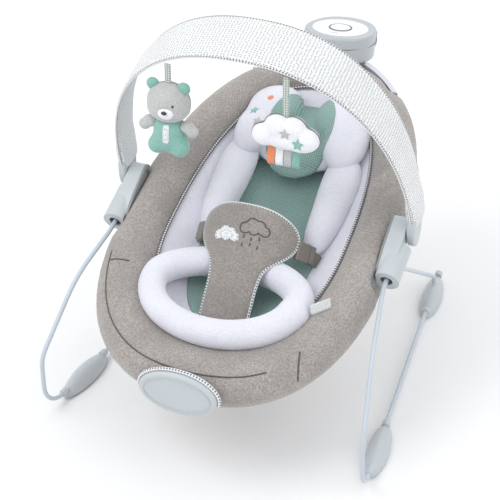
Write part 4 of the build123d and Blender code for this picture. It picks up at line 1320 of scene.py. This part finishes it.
@dataclass(frozen=True)
class FootTrim:
    """The collars where the wire enters the feet.

    Args:
        half_gap: How far the leg's line stands off the middle plane at its front.
        narrowing: How much nearer the middle it is at its rear.
        front: The y of its front.
        length: How far its rear lies behind its front.
    """

    half_gap: float = 0.240
    narrowing: float = 0.052
    front: float = -0.283
    length: float = 0.541

    def build(self) -> None:
        """Builds a collar at both ends of each foot."""
        for name, side in SIDES.items():
            low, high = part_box(f"feet_{name}")
            bm = bmesh.new()
            for y in (low[1] + 0.001, low[1] + 0.106, high[1] - 0.106, high[1] - 0.001):
                x = side * (self.half_gap - self.narrowing * (y - self.front) / self.length)
                place = Matrix.Translation((x, y, 0.013)) @ Matrix.Rotation(
                    side * math.atan2(self.narrowing, self.length), 4, "Z") @ Matrix.Rotation(
                        math.pi / 2, 4, "X")
                bmesh.ops.create_cone(bm, cap_ends=True, segments=24, radius1=0.0060, radius2=0.0060,
                                      depth=0.010, matrix=place)
            bmesh.ops.bevel(bm, geom=[e for e in bm.edges if len(e.link_faces) == 2 and
                                      e.calc_face_angle(0.0) > 1.0], offset=0.001, segments=3,
                            profile=0.5, affect="EDGES", material=-1)
            piece(f"foot_collars_{name}", bm, "shell_plastic", f"leg_{name}")


# ---- Studio ------------------------------------------------------------------------------
@dataclass(frozen=True)
class Studio:
    """Camera, floor and lights."""

    spot: tuple[float, float, float] = (0.6885, -1.7567, 1.4115)
    azimuth: float = 22.423
    elevation: float = 33.202
    roll: float = -0.352
    lens: float = 109.7

    def camera(self) -> None:
        """Places the camera."""
        az, el, roll = (math.radians(a) for a in (self.azimuth, self.elevation, self.roll))
        ahead = Vector((-math.sin(az) * math.cos(el), math.cos(az) * math.cos(el), -math.sin(el)))
        right = Vector((math.cos(az), math.sin(az), 0.0))
        up = right.cross(ahead)
        x_axis = right * math.cos(roll) + up * math.sin(roll)
        y_axis = up * math.cos(roll) - right * math.sin(roll)
        data = bpy.data.cameras.new("camera")
        data.lens = self.lens
        data.sensor_width = 36.0
        data.clip_end = 50.0
        thing = bpy.data.objects.new("camera", data)
        turn = Matrix((x_axis, y_axis, -ahead)).transposed().to_4x4()
        thing.matrix_world = Matrix.Translation(self.spot) @ turn
        bpy.context.scene.collection.objects.link(thing)
        bpy.context.scene.camera = thing

    def light(self, name: str, spot: Vector, size: float, power: float) -> None:
        """Adds a soft square light that looks at the seat."""
        data = bpy.data.lights.new(name, "AREA")
        data.size = size
        data.energy = power
        thing = bpy.data.objects.new(name, data)
        turn = (Vector((0.0, 0.0, 0.25)) - spot).to_track_quat("-Z", "Y").to_matrix().to_4x4()
        thing.matrix_world = Matrix.Translation(spot) @ turn
        bpy.context.scene.collection.objects.link(thing)

    def build(self) -> None:
        """Builds the studio."""
        self.camera()
        bm = bmesh.new()
        bmesh.ops.create_grid(bm, x_segments=1, y_segments=1, size=6.0)
        mesh = bpy.data.meshes.new("floor")
        bm.to_mesh(mesh)
        bm.free()
        nodes = Nodes("floor")
        tone = nodes.mix(nodes.noise(2.0), (0.86, 0.86, 0.86), (0.88, 0.88, 0.88))
        mesh.materials.append(nodes.close(tone, nodes.bump(nodes.noise(300.0), 0.0001), 0.8))
        floor = bpy.data.objects.new("floor", mesh)
        bpy.context.scene.collection.objects.link(floor)
        world = bpy.data.worlds.new("studio")
        world.use_nodes = True
        world.node_tree.nodes["Background"].inputs["Color"].default_value = (0.95, 0.97, 1.0, 1.0)
        world.node_tree.nodes["Background"].inputs["Strength"].default_value = 0.92
        bpy.context.scene.world = world
        bpy.context.scene.view_settings.view_transform = "Standard"
        self.light("key", Vector((-1.3, -1.4, 2.4)), 1.6, 30.0)
        self.light("fill", Vector((1.9, -0.6, 1.7)), 1.8, 12.0)
        self.light("back", Vector((0.2, 2.0, 1.9)), 1.6, 12.0)


def dress_nodes() -> None:
    """Gives every CAD node the finish of its slot."""
    for entry in frame["record"]["subparts"]:
        thing = frame["nodes"][entry["node"]]
        slot = entry["material_slot"]
        finish = "neck_plastic" if entry["node"] == "neck_cover" else slot
        thing.data.materials.clear()
        thing.data.materials.append(material(finish))


def main() -> None:
    """Builds the whole in order."""
    logging.basicConfig(level=logging.INFO)
    Studio().build()
    dress_nodes()
    for part in PARTS:
        LOG.info("building %s", part)
        part.build()


PARTS = (SeatPad(), SeatCushions(), Restraint(), ToyBar(), Bear(), Cloud(), ControlUnit(),
         ToePlate(), FootTrim())

if __name__ == "__main__":
    main()
